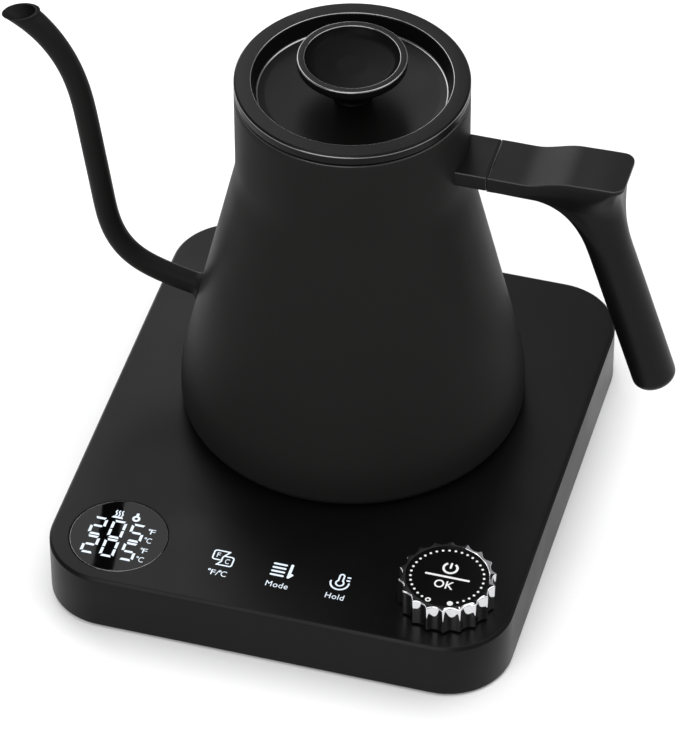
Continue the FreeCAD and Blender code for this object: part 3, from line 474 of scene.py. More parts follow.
def base_shell():
    """Thin moulded cover: rounded skirt, eased top edge, three openings and an inner face."""
    bm = bmesh.new()
    outside = eased([(0.35, FOOT), (0.0, FOOT, 0.3), (0.0, TOP - EDGE - 0.35, 0.1),
                     (0.16, TOP - EDGE - 0.25), (0.16, TOP - EDGE - 0.1), (0.04, TOP - EDGE),
                     (EDGE, TOP, 0.45), (EDGE + 1.6, TOP)], 5)
    inside = eased([(EDGE + 1.6, CEILING), (WALL, CEILING), (WALL, FOOT), (0.35, FOOT)])
    rings = []
    for inset, z in outside + inside[:-1]:
        reach = max(inset, 0.0)
        rings.append(raised(bm, rounded_loop(HALF_X - reach, HALF_Y - reach, CORNER - reach),
                            z, BASE_SPOT))
    outer_count = len(outside)
    skin(bm, rings[:outer_count])
    skin(bm, rings[outer_count:])
    bridge(bm, rings[-1], rings[0])
    top_edge, ceiling_edge = rings[outer_count - 1], rings[outer_count]
    top_holes, ceiling_holes = [], []
    holes = [(WINDOW_SPOT, [(WINDOW_RADIUS + 0.8, TOP), (WINDOW_RADIUS + 0.26, TOP),
                            (WINDOW_RADIUS + 0.12, TOP - 0.05), (WINDOW_RADIUS, TOP - 0.2),
                            (WINDOW_RADIUS, TOP - WINDOW_DEPTH),
                            (WINDOW_LEDGE, TOP - WINDOW_DEPTH), (WINDOW_LEDGE, CEILING)]),
             (DIAL_SPOT, [(BUSH_OPENING + 0.4, TOP), (BUSH_OPENING, TOP),
                          (BUSH_OPENING, CEILING)]),
             (KETTLE_PLACE, [(COLLAR_OPENING + 0.9, TOP), (COLLAR_OPENING + 0.3, TOP),
                             (COLLAR_OPENING + 0.1, TOP - 0.08), (COLLAR_OPENING, TOP - 0.35),
                             (COLLAR_OPENING, CEILING)])]
    for centre, wall in holes:
        loops = [raised(bm, circle_loop(centre, radius), z, BASE_SPOT) for radius, z in wall]
        skin(bm, loops)
        top_holes.append(loops[0])
        ceiling_holes.append(loops[-1])
    fill_between(bm, [top_edge] + top_holes)
    fill_between(bm, [ceiling_edge] + ceiling_holes)
    shell = finished("base_cover_shell", bm, "base", "black_housing", sharp=40.0,
                     replaces=["base_top_housing"])
    rear = BASE_Y + HALF_Y
    cut_hole(shell, (BASE_X, rear - WALL - 1.0, GLAND_HEIGHT), (BASE_X, rear + 1.0, GLAND_HEIGHT),
             GLAND_OPENING)


def window_glass():
    """Flush round window with a tiny eased rim."""
    # the rim fillet marked True carries the painted edge highlight
    outline = [(0.0, TOP - 0.02), (WINDOW_RADIUS - 1.0, TOP - 0.02),
               (WINDOW_RADIUS - 0.22, TOP - 0.02, 0.16, True), (WINDOW_RADIUS - 0.22, TOP - 0.4),
               (WINDOW_RADIUS - 0.22, TOP - WINDOW_DEPTH + 0.02),
               (0.0, TOP - WINDOW_DEPTH + 0.02)]
    return turned("display_window_disc", outline, (WINDOW.x, WINDOW.y, 0.0), "base", "window",
                  replaces=["display_window"])


def feet():
    """Four rubber pads, each with an eased rim and a shallow dished sole."""
    bm = bmesh.new()
    low, high = (millimetres(corner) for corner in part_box("rubber_feet"))
    radius = 9.0
    outline = eased([(0.0, 0.35), (radius - 2.6, 0.35, 0.3), (radius - 1.9, 0.0, 0.3),
                     (radius, 0.0, 0.5), (radius, high.z), (0.0, high.z)])
    for x in (low.x + radius, high.x - radius):
        for y in (low.y + radius, high.y - radius):
            lathe(bm, outline, (x, y, 0.0), 72)
    return finished("foot_pads", bm, "base", "black_rubber", replaces=["rubber_feet"],
                    merge=False)


base_shell()
window_glass()
feet()


# ---------------------------------------------------------------- printed and lit marks

def sides_of(line, width, closed):
    """Both sides of a pen stroke of constant width along plan points."""
    left, right = [], []
    count = len(line)
    for index, here in enumerate(line):
        into = (here - line[index - 1]).normalized() if index or closed else None
        ends = index == count - 1 and not closed
        out = None if ends else (line[(index + 1) % count] - here).normalized()
        along = (into + out).normalized() if into and out else (into or out)
        side = Vector((-along.y, along.x))
        stretch = 1.0 / max(0.4, side.dot(Vector((-out.y, out.x)))) if into and out else 1.0
        left.append(here + side * width / 2 * stretch)
        right.append(here - side * width / 2 * stretch)
    return left, right


def arc(centre, radius, start, end, steps=24):
    return [Vector((centre[0] + radius * math.cos(math.radians(start + (end - start) * k / steps)),
                    centre[1] + radius * math.sin(math.radians(start + (end - start) * k / steps))))
            for k in range(steps + 1)]


def polar(radius, degrees):
    angle = math.radians(degrees)
    return (radius * math.cos(angle), radius * math.sin(angle))


class Marks:
    """Thin raised marks drawn in plan about a spot and gathered into pieces."""

    def __init__(self, z, spot, *finish):
        self.bm = bmesh.new()
        self.z = z
        self.spot = spot
        self.body, self.slot, self.material = finish

    def rings(self, *outlines):
        """Vertex loops from (outline, whether it is the upper one) pairs."""
        return [raised(self.bm, [Vector(point) for point in outline],
                       self.z + (INK_HEIGHT if upper else 0.0), self.spot)
                for outline, upper in outlines]

    def slab(self, outline):
        """A thin closed plate."""
        low, high = self.rings((outline, False), (outline, True))
        self.bm.faces.new(high)
        self.bm.faces.new(list(reversed(low)))
        bridge(self.bm, low, high)

    def stroke(self, points, width, round_ends=True):
        line = [Vector(point) for point in points]
        left, right = sides_of(line, width, False)
        start_cap, end_cap = [], []
        if round_ends:
            for cap, at, along in ((start_cap, line[0], (line[0] - line[1]).normalized()),
                                   (end_cap, line[-1], (line[-1] - line[-2]).normalized())):
                side = Vector((-along.y, along.x))
                for step in range(1, 8):
                    angle = math.pi * step / 8
                    cap.append(at + side * math.cos(angle) * width / 2
                               + along * math.sin(angle) * width / 2)
        self.slab(left + end_cap + right[::-1] + start_cap)

    def band(self, points, width):
        """A stroke that closes on itself."""
        left, right = sides_of([Vector(point) for point in points], width, True)
        rings = self.rings((left, False), (left, True), (right, True), (right, False))
        skin(self.bm, rings + rings[:1])

    def dot(self, centre, radius):
        self.slab(circle_loop(centre, radius, 28))

    def circle(self, centre, radius, width):
        self.band(arc(centre, radius, 0, 360, 40)[:-1], width)

    def words(self, words, height, width, centre, weight=0.0, spacing=1.0):
        """Plain lettering fitted into a box about a centre."""
        curve = bpy.data.curves.new("lettering", "FONT")
        curve.body = words
        curve.offset = weight
        curve.space_character = spacing
        curve.extrude = 0.02
        curve.resolution_u = 8
        holder = placed("lettering", curve)
        bpy.context.view_layer.update()
        mesh = bpy.data.meshes.new_from_object(holder)
        bpy.data.objects.remove(holder)
        bpy.data.curves.remove(curve)
        xs = [v.co.x for v in mesh.vertices]
        ys = [v.co.y for v in mesh.vertices]
        scale_x = width / (max(xs) - min(xs))
        scale_y = height / (max(ys) - min(ys))
        middle_x, middle_y = (max(xs) + min(xs)) / 2, (max(ys) + min(ys)) / 2
        for v in mesh.vertices:
            v.co = Vector((self.spot[0] + centre[0] + (v.co.x - middle_x) * scale_x,
                           self.spot[1] + centre[1] + (v.co.y - middle_y) * scale_y,
                           self.z + (INK_HEIGHT if v.co.z > 0 else 0.0)))
        self.bm.from_mesh(mesh)
        bpy.data.meshes.remove(mesh)

    def done(self, name):
        """Finish the marks drawn so far as one piece and begin the next."""
        finished(name, self.bm, self.body, self.slot, materials=[self.material], merge=False)
        self.bm = bmesh.new()


INK_HEIGHT = 0.045


def segment_digit(marks, digit, left, top):
    """One seven-segment figure, 6 mm wide and 10 mm tall."""
    wide, tall, thick, gap = 6.0, 10.0, 1.10, 0.46
    bars = {"0": "abcdef", "2": "abged", "5": "afgcd"}[digit]
    half = tall / 2
    rows = {"a": tall - thick / 2, "g": half, "d": thick / 2}
    for bar in bars:
        if bar in rows:
            y = top - tall + rows[bar]
            inset = 0.55 if bar == "g" else 0.35
            x0, x1 = left + thick * inset + gap, left + wide - thick * inset - gap
            slant = thick * 0.42
            upper = slant if bar == "d" else (slant / 2 if bar == "g" else 0.0)
            lower = slant if bar == "a" else (slant / 2 if bar == "g" else 0.0)
            outline = [(x0 + lower, y - thick / 2), (x1 - lower, y - thick / 2),
                       (x1 - upper, y + thick / 2), (x0 + upper, y + thick / 2)]
            if bar == "g":
                outline = [(x0, y), (x0 + slant, y - thick / 2), (x1 - slant, y - thick / 2),
                           (x1, y), (x1 - slant, y + thick / 2), (x0 + slant, y + thick / 2)]
        else:
            at_left = bar in "fe"
            low = top - tall + (half + gap / 2 if bar in "fb" else thick * 0.45 + gap)
            high = top - tall + (tall - thick * 0.45 - gap if bar in "fb" else half - gap / 2)
            cut_low = 0.2 if bar in "fb" else thick * 0.45
            cut_high = thick * 0.45 if bar in "fb" else 0.2
            x0 = left if at_left else left + wide
            x1 = left + thick if at_left else left + wide - thick
            outline = [(x0, low), (x1, low + cut_low), (x1, high - cut_high), (x0, high)]
        marks.slab(outline)


def display_marks():
    """Two rows of segment figures, their units and two small symbols, lit from behind."""
    marks = Marks(TOP - 0.045, BASE_SPOT, "base", "display", GLOW)
    for top in (-74.55, -85.1):
        for digit, left in (("2", -79.35), ("0", -71.4), ("5", -63.4)):
            segment_digit(marks, digit, left, top)
    marks.done("display_figures")
    for y in (-77.3, -88.1):
        marks.words("F", 2.7, 1.9, (-54.2, y))
        marks.circle((-55.75, y + 1.0), 0.36, 0.28)
        marks.words("C", 2.8, 2.0, (-54.3, y - 4.95))
        marks.circle((-55.95, y - 3.9), 0.36, 0.28)
    marks.done("display_units")
    for x in (-71.35, -70.1, -68.85):
        marks.stroke([(x + 0.28 * math.sin(k / 12 * 2 * math.pi), -72.0 + 2.7 * k / 12)
                      for k in range(13)], 0.55)
    marks.slab([(-72.6, -73.5), (-67.9, -73.5), (-68.5, -72.45), (-72.0, -72.45)])
    marks.circle((-62.85, -71.85), 1.15, 0.95)
    marks.stroke([(-62.85, -70.3), (-62.85, -69.3)], 1.15)
    marks.done("display_symbols")


def touch_keys():
    """Three lit key symbols in a row and a line of labels under them."""
    marks = Marks(TOP - 0.02, BASE_SPOT, "base", "black_housing", GLOW)
    first = [(-21.3, -79.75), (-26.6, -79.75), (-27.2, -80.0), (-27.5, -80.6), (-27.5, -83.9),
             (-27.2, -84.5), (-26.6, -84.75), (-24.3, -84.75)]
    second = [(-21.3, -79.75), (-23.1, -82.3), (-20.1, -82.3), (-19.3, -82.5), (-18.95, -83.2),
              (-18.95, -86.4), (-19.2, -87.1), (-19.8, -87.35), (-24.9, -87.35), (-23.55, -85.4),
              (-23.55, -83.1), (-23.1, -82.3)]
    for line in (first, second[:2], second[1:]):
        marks.stroke(line, 0.62)
    marks.words("F", 2.5, 1.35, (-25.45, -82.2))
    marks.words("C", 2.6, 1.7, (-21.2, -84.9))
    marks.done("key_unit_symbol")
    for row in range(4):
        y = -80.65 - row * 2.02
        marks.stroke([(-2.75, y), (2.05, y)], 0.95)
    marks.slab([(3.75, -80.0), (4.05, -79.65), (4.65, -79.65), (4.95, -80.0), (4.95, -84.6),
                (5.95, -84.9), (6.1, -85.4), (4.7, -87.3), (4.2, -87.45), (3.75, -87.1)])
    marks.done("key_mode_symbol")
    marks.band(arc((24.75, -84.3), 1.55, 90 + 35, 360 + 90 - 35, 30)
               + arc((24.75, -80.4), 0.9, 0, 180, 12), 0.68)
    for y in (-80.65, -82.35):
        marks.stroke([(27.25, y), (28.15, y)], 0.75)
    marks.stroke(arc((24.7, -84.2), 3.65, 175, 365, 36), 0.72)
    marks.done("key_hold_symbol")
    label_y = -91.85
    marks.words("F/", 2.8, 3.2, (-24.2, label_y))
    marks.words("C", 2.9, 2.3, (-20.6, label_y))
    for x in (-26.7, -22.35):
        marks.circle((x, label_y + 1.1), 0.40, 0.34)
    marks.words("Mode", 2.9, 9.0, (1.2, label_y), spacing=1.08)
    marks.words("Hold", 2.9, 7.5, (24.75, label_y), spacing=1.08)
    marks.done("key_labels")


display_marks()
touch_keys()


# ---------------------------------------------------------------- dial

FLUTES = 18
FLUTE_DEPTH = 1.55
DIAL_RADIUS = 19.3
DIAL_HEIGHT = DIAL_TOP - DIAL_LOW
FACE_RADIUS = 16.35


def fluted(depth_share):
    """Radius change of the fluted wall: round hollows that meet in narrow ridges."""
    pitch = 2 * math.pi / FLUTES
    hollow = 3.5

    def shape(r, z, angle):
        offset = ((angle - math.radians(270.0) + pitch / 2) % pitch) - pitch / 2
        away = abs(offset) * DIAL_RADIUS
        bottom = hollow - math.sqrt(max(hollow ** 2 - away ** 2, 0.0))
        cut = FLUTE_DEPTH - bottom
        soft = 0.38
        cut = soft * math.log1p(math.exp(cut / soft)) if cut / soft < 30 else cut
        limit = soft * math.log1p(math.exp(FLUTE_DEPTH / soft))
        return r - cut / limit * FLUTE_DEPTH * depth_share(r)
    return shape


def dial():
    spot = (DIAL.x, DIAL.y, DIAL_LOW)
    height = DIAL_HEIGHT
    seat = height - 1.4
    outline = eased([(15.4, 0.0), (DIAL_RADIUS - 0.1, 0.0, 0.2), (DIAL_RADIUS, height, 0.55),
                     (FACE_RADIUS + 0.12, height), (FACE_RADIUS + 0.12, height - 0.25),
                     (FACE_RADIUS + 0.12, seat), (3.0, seat), (3.0, 2.4), (5.2, 2.4),
                     (5.2, seat - 1.8), (15.4, seat - 1.8), (15.4, 0.0)], 6)
    share = lambda r: min(1.0, max(0.0, (r - 16.9) / 1.4))
    bm = bmesh.new()
    lathe(bm, outline, spot, FLUTES * 28, fluted(share))
    finished("dial_crown", bm, "dial", "dial_chrome", sharp=50.0, replaces=["dial_ring"])
    face_top = height - 0.42
    disc = [(0.0, face_top), (FACE_RADIUS - 1.0, face_top), (FACE_RADIUS, face_top, 0.14),
            (FACE_RADIUS, face_top - 0.5), (FACE_RADIUS, seat + 0.02), (0.0, seat + 0.02)]
    turned("dial_disc", disc, spot, "dial", "dial_face", replaces=["dial_face"])
    # the dial's printed marks carry the painted glow of the ink material
    marks = Marks(DIAL_LOW + face_top - 0.015, (DIAL.x, DIAL.y, 0.0), "dial", "dial_face", INK)
    track = 14.4
    for index in range(31):
        marks.dot(polar(track, 301.0 + 10.03 * index), 0.52)
    marks.dot(polar(track, 289.0), 1.2)
    marks.circle(polar(track, 253.5), 0.84, 0.62)
    marks.done("dial_dots")
    marks.stroke(arc((0.0, 4.9), 2.72, 90 + 34, 360 + 90 - 34, 40), 0.95, round_ends=False)
    marks.stroke([(0.0, 7.35), (0.0, 5.0)], 0.85)
    marks.stroke([(-8.5, -0.05), (8.6, -0.05)], 1.0)
    marks.words("OK", 4.2, 7.8, (-0.2, -4.3), weight=0.012, spacing=1.05)
    marks.done("dial_symbols")


dial()


# ---------------------------------------------------------------- kettle body

BODY_RADIUS = 69.8
NECK_RADIUS = 46.0


def body_profile(inset=0.0):
    """Profile of the outer wall, or of a wall inset from it, from the bottom to the rim."""
    side, neck = BODY_RADIUS - inset, NECK_RADIUS - inset
    corners = [(59.5, 0.6 + inset), (side, 0.6 + inset, 7.0 - inset), (side, 16.2, 60.0 - inset),
               (neck, 120.4, 50.0 + inset), (neck, 161.2)]
    points = eased(corners, 26)
    dense = []
    for first, second in zip(points, points[1:]):
        pieces = max(1, int((second - first).length / 4.0))
        for step in range(pieces):
            dense.append(first.lerp(second, step / pieces))
    dense.append(points[-1])
    return dense


def from_axis(point):
    """Distance of a point from the kettle's centre line."""
    return math.hypot(point.x - KETTLE_SPOT[0], point.y - KETTLE_SPOT[1])


def kettle_body():
    """Thin coated shell with a steel inside and a rolled rim."""
    rim = [Vector((NECK_RADIUS - inset, z)) for inset, z in
           ((0.0, 160.75), (0.14, 161.06), (0.42, 161.2), (0.8, 161.2), (1.0, 161.0))]
    outline = body_profile()[:-1] + rim + list(reversed(body_profile(1.0)[:-1]))
    bm = bmesh.new()
    lathe(bm, outline, KETTLE_SPOT, 224, closed=True)
    shell = finished("kettle_body_shell", bm, "kettle", "black_coating", sharp=40.0,
                     materials=[LOOKS["black_coating"], LOOKS["steel"], RIM_COATING],
                     replaces=["kettle_shell"])
    for face in shell.data.polygons:
        centre = face.center / MM
        reach = from_axis(centre)
        away = Vector((centre.x - KETTLE_SPOT[0], centre.y - KETTLE_SPOT[1], 0.0)) / reach
        face.material_index = 1 if face.normal.dot(away) < -0.05 else 0
        if centre.z - TOP > 160.8 and reach > NECK_RADIUS - 0.5:
            face.material_index = 2
    cut_hole(shell, spout_line()[0], spout_line()[2], SPOUT_BORE)


def spout_line():
    """Smooth centreline of the spout, from inside the body wall to the pouring end."""
    knots = [(60.0, 41.1), (64.4, 42.1), (72.0, 43.7), (78.1, 45.4), (84.6, 47.6), (90.6, 50.7),
             (95.5, 55.2), (99.1, 60.8), (101.6, 67.6), (103.0, 74.4), (104.1, 82.6),
             (105.5, 93.0), (107.2, 105.0), (108.9, 117.5), (110.7, 129.5), (112.6, 137.6),
             (115.4, 146.0), (119.3, 153.6), (123.8, 160.0), (129.0, 165.4), (134.6, 169.7),
             (139.8, 172.8)]
    return [Vector((KETTLE_SPOT[0] - x, KETTLE_SPOT[1], KETTLE_SPOT[2] + z)) for x, z in knots]


def smooth_path(knots, per_span=6):
    """Points on a uniform cubic B-spline-like curve that follows the knots."""
    curve = bpy.data.curves.new("path", "CURVE")
    curve.dimensions = "3D"
    curve.resolution_u = per_span
    spline = curve.splines.new("NURBS")
    spline.points.add(len(knots) - 1)
    for point, knot in zip(spline.points, knots):
        point.co = (*knot, 1.0)
    spline.order_u = 4
    spline.use_endpoint_u = True
    holder = bpy.data.objects.new("path", curve)
    mesh = bpy.data.meshes.new_from_object(holder)
    points = [v.co.copy() for v in mesh.vertices]
    bpy.data.objects.remove(holder)
    bpy.data.meshes.remove(mesh)
    bpy.data.curves.remove(curve)
    return points


def body_gap(point):
    """How far a point stands outside the body's outer wall."""
    z = point.z - KETTLE_SPOT[2]
    for first, second in zip(BODY_OUTLINE, BODY_OUTLINE[1:]):
        if first.y <= z <= second.y and second.y > first.y:
            share = (z - first.y) / (second.y - first.y)
            return from_axis(point) - (first.x + (second.x - first.x) * share)
    return from_axis(point) - NECK_RADIUS


BODY_OUTLINE = body_profile()
SPOUT_RADIUS = 4.55
SPOUT_WALL = 0.7
SPOUT_BORE = 3.8
ROOT_DEPTH = 0.5
ROOT_FILLET = 1.6
FLARE = 1.0
FLARE_START = 0.72
MOUTH_TILT = math.radians(12.6)
MOUTH = Vector((KETTLE_SPOT[0] - 134.4, KETTLE_SPOT[1], KETTLE_SPOT[2] + 169.6))
MOUTH_PLANE = Vector((-math.sin(MOUTH_TILT), 0.0, math.cos(MOUTH_TILT)))


def onto_wall(point, along):
    """Slide a point of the spout's root outwards until it lies within the body's wall."""
    for _ in range(8):
        short = -ROOT_DEPTH - body_gap(point)
        if short <= 0:
            break
        point = point + along * short
    return point


def spout_rings(frames, offset, around=72):
    """Rings of points along the spout, at an offset inwards from its outer skin."""
    side = Vector((0.0, 1.0, 0.0))
    rings = []
    for here, along, share in frames:
        across = along.cross(side).normalized()
        flare = FLARE * max(0.0, (share - FLARE_START) / (1 - FLARE_START)) ** 2
        thin = 1.0 - 0.4 * smooth((share - 0.9) / 0.1)
        radius = SPOUT_RADIUS + flare - offset * thin
        ring = []
        for step in range(around):
            angle = 2 * math.pi * step / around
            point = here + (across * math.cos(angle) + side * math.sin(angle)) * radius
            above = (point - MOUTH).dot(MOUTH_PLANE)
            if above > 0:
                point = point - along * (above / along.dot(MOUTH_PLANE))
            point = onto_wall(point, along)
            near = max(body_gap(point), 0.0)
            if not offset and near < ROOT_FILLET:
                grow = ROOT_FILLET - math.sqrt(ROOT_FILLET ** 2 - (ROOT_FILLET - near) ** 2)
                point = point + (point - here).normalized() * grow
            ring.append(point)
        rings.append(ring)
    return rings


def spout():
    """Drawn tube with a small root fillet, a flare and a slanted, slightly pointed lip."""
    path = smooth_path(spout_line())
    total = sum((b - a).length for a, b in zip(path, path[1:]))
    frames, run = [], 0.0
    for index, here in enumerate(path):
        before = path[max(index - 1, 0)]
        after = path[min(index + 1, len(path) - 1)]
        if index:
            run += (here - before).length
        frames.append((here, (after - before).normalized(), run / total))
    sheets = [spout_rings(frames, offset) for offset in (0.0, SPOUT_WALL)]
    last = max(index for index, ring in enumerate(sheets[0])
               if min((point - MOUTH).dot(MOUTH_PLANE) for point in ring) < -0.02) + 1
    last = min(last, len(frames) - 1)
    first = max([0] + [index for index, place in enumerate(frames)
                       if body_gap(place[0]) < -ROOT_DEPTH - ROOT_FILLET])
    bm = bmesh.new()
    outer, inner = ([[bm.verts.new(point) for point in ring] for ring in sheet[first:last + 1]]
                    for sheet in sheets)
    skin(bm, outer)
    skin(bm, inner)
    rim = [bm.verts.new((a.co + b.co) / 2 + MOUTH_PLANE * 0.22)
           for a, b in zip(outer[-1], inner[-1])]
    for lower, upper in ((outer[-1], rim), (rim, inner[-1]), (inner[0], outer[0])):
        bridge(bm, lower, upper)
    finished("kettle_spout_tube", bm, "kettle", "black_coating", sharp=50.0,
             materials=[SPOUT_COATING], replaces=["spout"])


kettle_body()
spout()


# ---------------------------------------------------------------- handle

ARM_TOP = 138.5
ARM_LOW = 131.7
ARM_HALF = 12.0
SEAM = 57.0
SEAM_GAP = 0.1
ARM_START = SEAM + SEAM_GAP
PADDLE_END = 111.0
PADDLE_CORNER = 4.6
SEAM_CORNER = 0.3
UNDER_ROUND = 2.4
WIDEN_FROM = 66.0
WIDEN_OVER = 24.0
LEAN = math.radians(17.5)
GRIP_RADIUS = 8.9
GRIP_END = Vector((125.3, 37.6))
GRIP_END_ROUND = 4.0
SKIRT = 1.7
RIM_EDGE = 0.42
EASED_EDGE = [(RIM_EDGE - RIM_EDGE * math.cos(math.radians(a)),
               RIM_EDGE - RIM_EDGE * math.sin(math.radians(a))) for a in (90, 67, 45, 22, 0)]
SEAM_STEPS, UNDER_STEPS, ARC_STEPS, GRIP_STEPS = 5, 12, 22, 26


def bezier(points, t):
    a, b, c, d = (Vector(point) for point in points)
    s = 1 - t
    return a * s ** 3 + b * 3 * s * s * t + c * 3 * s * t * t + d * t ** 3


def arm_top(x):
    """Height of the arm's upper face: flat, then a soft rise to the thumb rest."""
    return ARM_TOP + 4.15 * smooth((x - 71.0) / 19.0) + 0.45 * smooth((x - 88.0) / 18.0)


def grip_centre(z):
    return GRIP_END.x - (z - GRIP_END.y) * math.tan(LEAN)


def handle_outline():
    """Pairs of (inner, outer) points of the side view, from the top edge to the grip's end."""
    straight = 101.0
    inner_start = Vector((grip_centre(straight) - GRIP_RADIUS * math.cos(LEAN),
                          straight - GRIP_RADIUS * math.sin(LEAN)))
    outer_start = Vector((grip_centre(straight) + GRIP_RADIUS * math.cos(LEAN),
                          straight + GRIP_RADIUS * math.sin(LEAN)))
    along = Vector((math.sin(LEAN), -math.cos(LEAN)))
    lip = Vector((PADDLE_END - 0.4, arm_top(PADDLE_END) - SKIRT))
    outer_curve = [lip, lip + Vector((-3.2, -5.0)), outer_start - along * 13.0, outer_start]
    under_start = Vector((70.0, ARM_LOW))
    inner_curve = [under_start, under_start + Vector((15.0, 0.0)), inner_start - along * 17.0,
                   inner_start]
    pairs = []
    spans = SEAM_STEPS + UNDER_STEPS + ARC_STEPS
    for index in range(spans + 1):
        if index <= SEAM_STEPS:
            share = index / SEAM_STEPS
            inner = Vector((ARM_START, ARM_TOP - SKIRT - (ARM_TOP - SKIRT - ARM_LOW) * share))
        elif index <= SEAM_STEPS + UNDER_STEPS:
            share = (index - SEAM_STEPS) / UNDER_STEPS
            inner = Vector((ARM_START + (under_start.x - ARM_START) * share, ARM_LOW))
        else:
            inner = bezier(inner_curve, (index - SEAM_STEPS - UNDER_STEPS) / ARC_STEPS)
        outer = bezier(outer_curve, (index / spans) ** 0.9)
        pairs.append((inner, outer))
    length = (straight - GRIP_END.y) / math.cos(LEAN) - GRIP_END_ROUND
    for index in range(1, GRIP_STEPS + 1):
        step = along * (length * index / GRIP_STEPS)
        pairs.append((inner_start + step, outer_start + step))
    return pairs


def loop_shares():
    """Fixed places round a loop: (region, share within it) for one half, from inner to outer."""
    shares = []
    for region, count in (("inner", 6), ("inner_corner", 9), ("side", 22), ("outer_corner", 12),
                          ("outer", 5)):
        for index in range(count):
            shares.append((region, index / count))
    shares.append(("outer", 1.0))
    return shares


def half_loop(chord, width_at, inner_round, outer_round, outer_long=0.0):
    """Half outline of one section as (distance along the chord, half width) pairs."""
    inner_width, outer_width = width_at(0.0), width_at(chord)
    inner_round = min(inner_round, inner_width, chord * 0.5)
    outer_round = min(outer_round, outer_width, chord * 0.5)
    outer_long = min(max(outer_long, outer_round), chord - inner_round)
    points = []
    for region, share in loop_shares():
        if region == "inner":
            points.append((0.0, (inner_width - inner_round) * share))
        elif region == "inner_corner":
            angle = math.pi / 2 * share
            a = inner_round * (1 - math.cos(angle))
            points.append((a, width_at(a) - inner_round * (1 - math.sin(angle))))
        elif region == "side":
            a = inner_round + (chord - inner_round - outer_long) * share
            points.append((a, width_at(a)))
        elif region == "outer_corner":
            angle = math.pi / 2 * share
            a = chord - outer_long * (1 - math.sin(angle))
            points.append((a, width_at(a) - outer_round * (1 - math.cos(angle))))
        else:
            points.append((chord, (outer_width - outer_round) * (1 - share)))
    return points


def section_loop(bm, half, place_of):
    """Closed ring of one section from its half outline, the front half first."""
    front = [bm.verts.new(place_of(a, -w)) for a, w in half]
    return front + [bm.verts.new(place_of(a, w)) for a, w in reversed(half[1:-1])]


def rim_loops(bm):
    """Rings of the flat top's own border, its eased edge and the skirt under that."""
    x0, y0, z0 = KETTLE_SPOT
    loops = []
    for inset, drop in ((RIM_EDGE + 0.5, 0.0), *EASED_EDGE, (0.0, 1.1), (0.0, SKIRT)):
        chord = PADDLE_END - ARM_START - 2 * inset + (0.0 if drop < 1.6 else -0.05)
        half = half_loop(chord, lambda a: ARM_HALF - inset, max(SEAM_CORNER - inset, 0.1),
                         max(PADDLE_CORNER - inset, 0.3))

        def place_of(a, w):
            x = ARM_START + inset + a
            return (x0 + x, y0 + w, z0 + arm_top(x) - drop)
        loops.append(section_loop(bm, half, place_of))
    return loops


def arm_loops(bm):
    """Rings from the skirt through the arm and the bend to the straight end of the grip."""
    x0, y0, z0 = KETTLE_SPOT
    blend_end = SEAM_STEPS + UNDER_STEPS + ARC_STEPS
    loops = []
    for index, (inner, outer) in enumerate(handle_outline()[1:], start=1):
        chord = (outer - inner).length
        progress = min(1.0, index / blend_end)
        outer_width = ARM_HALF + (GRIP_RADIUS - ARM_HALF) * smooth(progress * 1.25) ** 0.7

        def width_at(a):
            x = inner.x + (outer.x - inner.x) * a / chord
            return ARM_HALF + (outer_width - ARM_HALF) * smooth((x - WIDEN_FROM) / WIDEN_OVER)

        arc_progress = min(1.0, max(0.0, (index - SEAM_STEPS - UNDER_STEPS) / ARC_STEPS))
        under = smooth((index - SEAM_STEPS) / 6)
        edge_round = SEAM_CORNER + (UNDER_ROUND - SEAM_CORNER) * under
        inner_round = edge_round + (GRIP_RADIUS - edge_round) * smooth(arc_progress * 1.15)
        outer_round = PADDLE_CORNER + (GRIP_RADIUS - PADDLE_CORNER) * smooth(progress * 1.5)
        outer_long = min(chord * 0.55, PADDLE_CORNER + 15.0 * smooth(progress * 2.2))
        if index >= blend_end:
            outer_long = GRIP_RADIUS
        half = half_loop(chord, width_at, inner_round, outer_round, outer_long)
        bend = max(0.0, 1 - index / 7.0)

        def place_of(a, w):
            share = a / chord
            point = inner.lerp(outer, share)
            followed = arm_top(point.x) - SKIRT - (ARM_TOP - SKIRT - inner.y) * (1 - share) - (
                arm_top(PADDLE_END) - SKIRT - outer.y) * share
            return (x0 + point.x, y0 + w, z0 + point.y + (followed - point.y) * bend)
        loops.append(section_loop(bm, half, place_of))
    return loops


def close_grip(bm, previous):
    """Rounded end of the grip."""
    along = Vector((math.sin(LEAN), 0.0, -math.cos(LEAN)))
    last = [v.co.copy() for v in previous]
    centre = sum(last, Vector()) / len(last)
    for step in range(1, 11):
        angle = math.pi / 2 * step / 10
        shrink = (GRIP_RADIUS - GRIP_END_ROUND * (1 - math.cos(angle))) / GRIP_RADIUS
        drop = along * GRIP_END_ROUND * math.sin(angle)
        ring = [bm.verts.new(centre + (p - centre) * shrink + drop) for p in last]
        bridge(bm, previous, ring)
        previous = ring
    tip = centre + along * GRIP_END_ROUND
    end_ring = [v.co.copy() for v in previous]
    for shrink in (0.66, 0.33):
        ring = [bm.verts.new(tip + (p - tip) * shrink) for p in end_ring]
        bridge(bm, previous, ring)
        previous = ring
    hub = bm.verts.new(tip)
    for step, vertex in enumerate(previous):
        bm.faces.new((vertex, previous[(step + 1) % len(previous)], hub))


def close_top(bm, border, across=8):
    """Top face of the handle, in strips across between mirrored border points."""
    rows = []
    for index in range(len(loop_shares())):
        front, rear = border[index], border[-index]
        if front is rear:
            rows.append([front])
            continue
        between = [bm.verts.new(front.co.lerp(rear.co, step / across))
                   for step in range(1, across)]
        rows.append([front, *between, rear])
    for first, second in zip(rows, rows[1:]):
        single, many = (first, second) if len(first) == 1 else (second, first)
        if len(single) == 1:
            for a, b in zip(many, many[1:]):
                bm.faces.new((single[0], a, b))
            continue
        for corners in zip(first, first[1:], second[1:], second):
            bm.faces.new(corners)


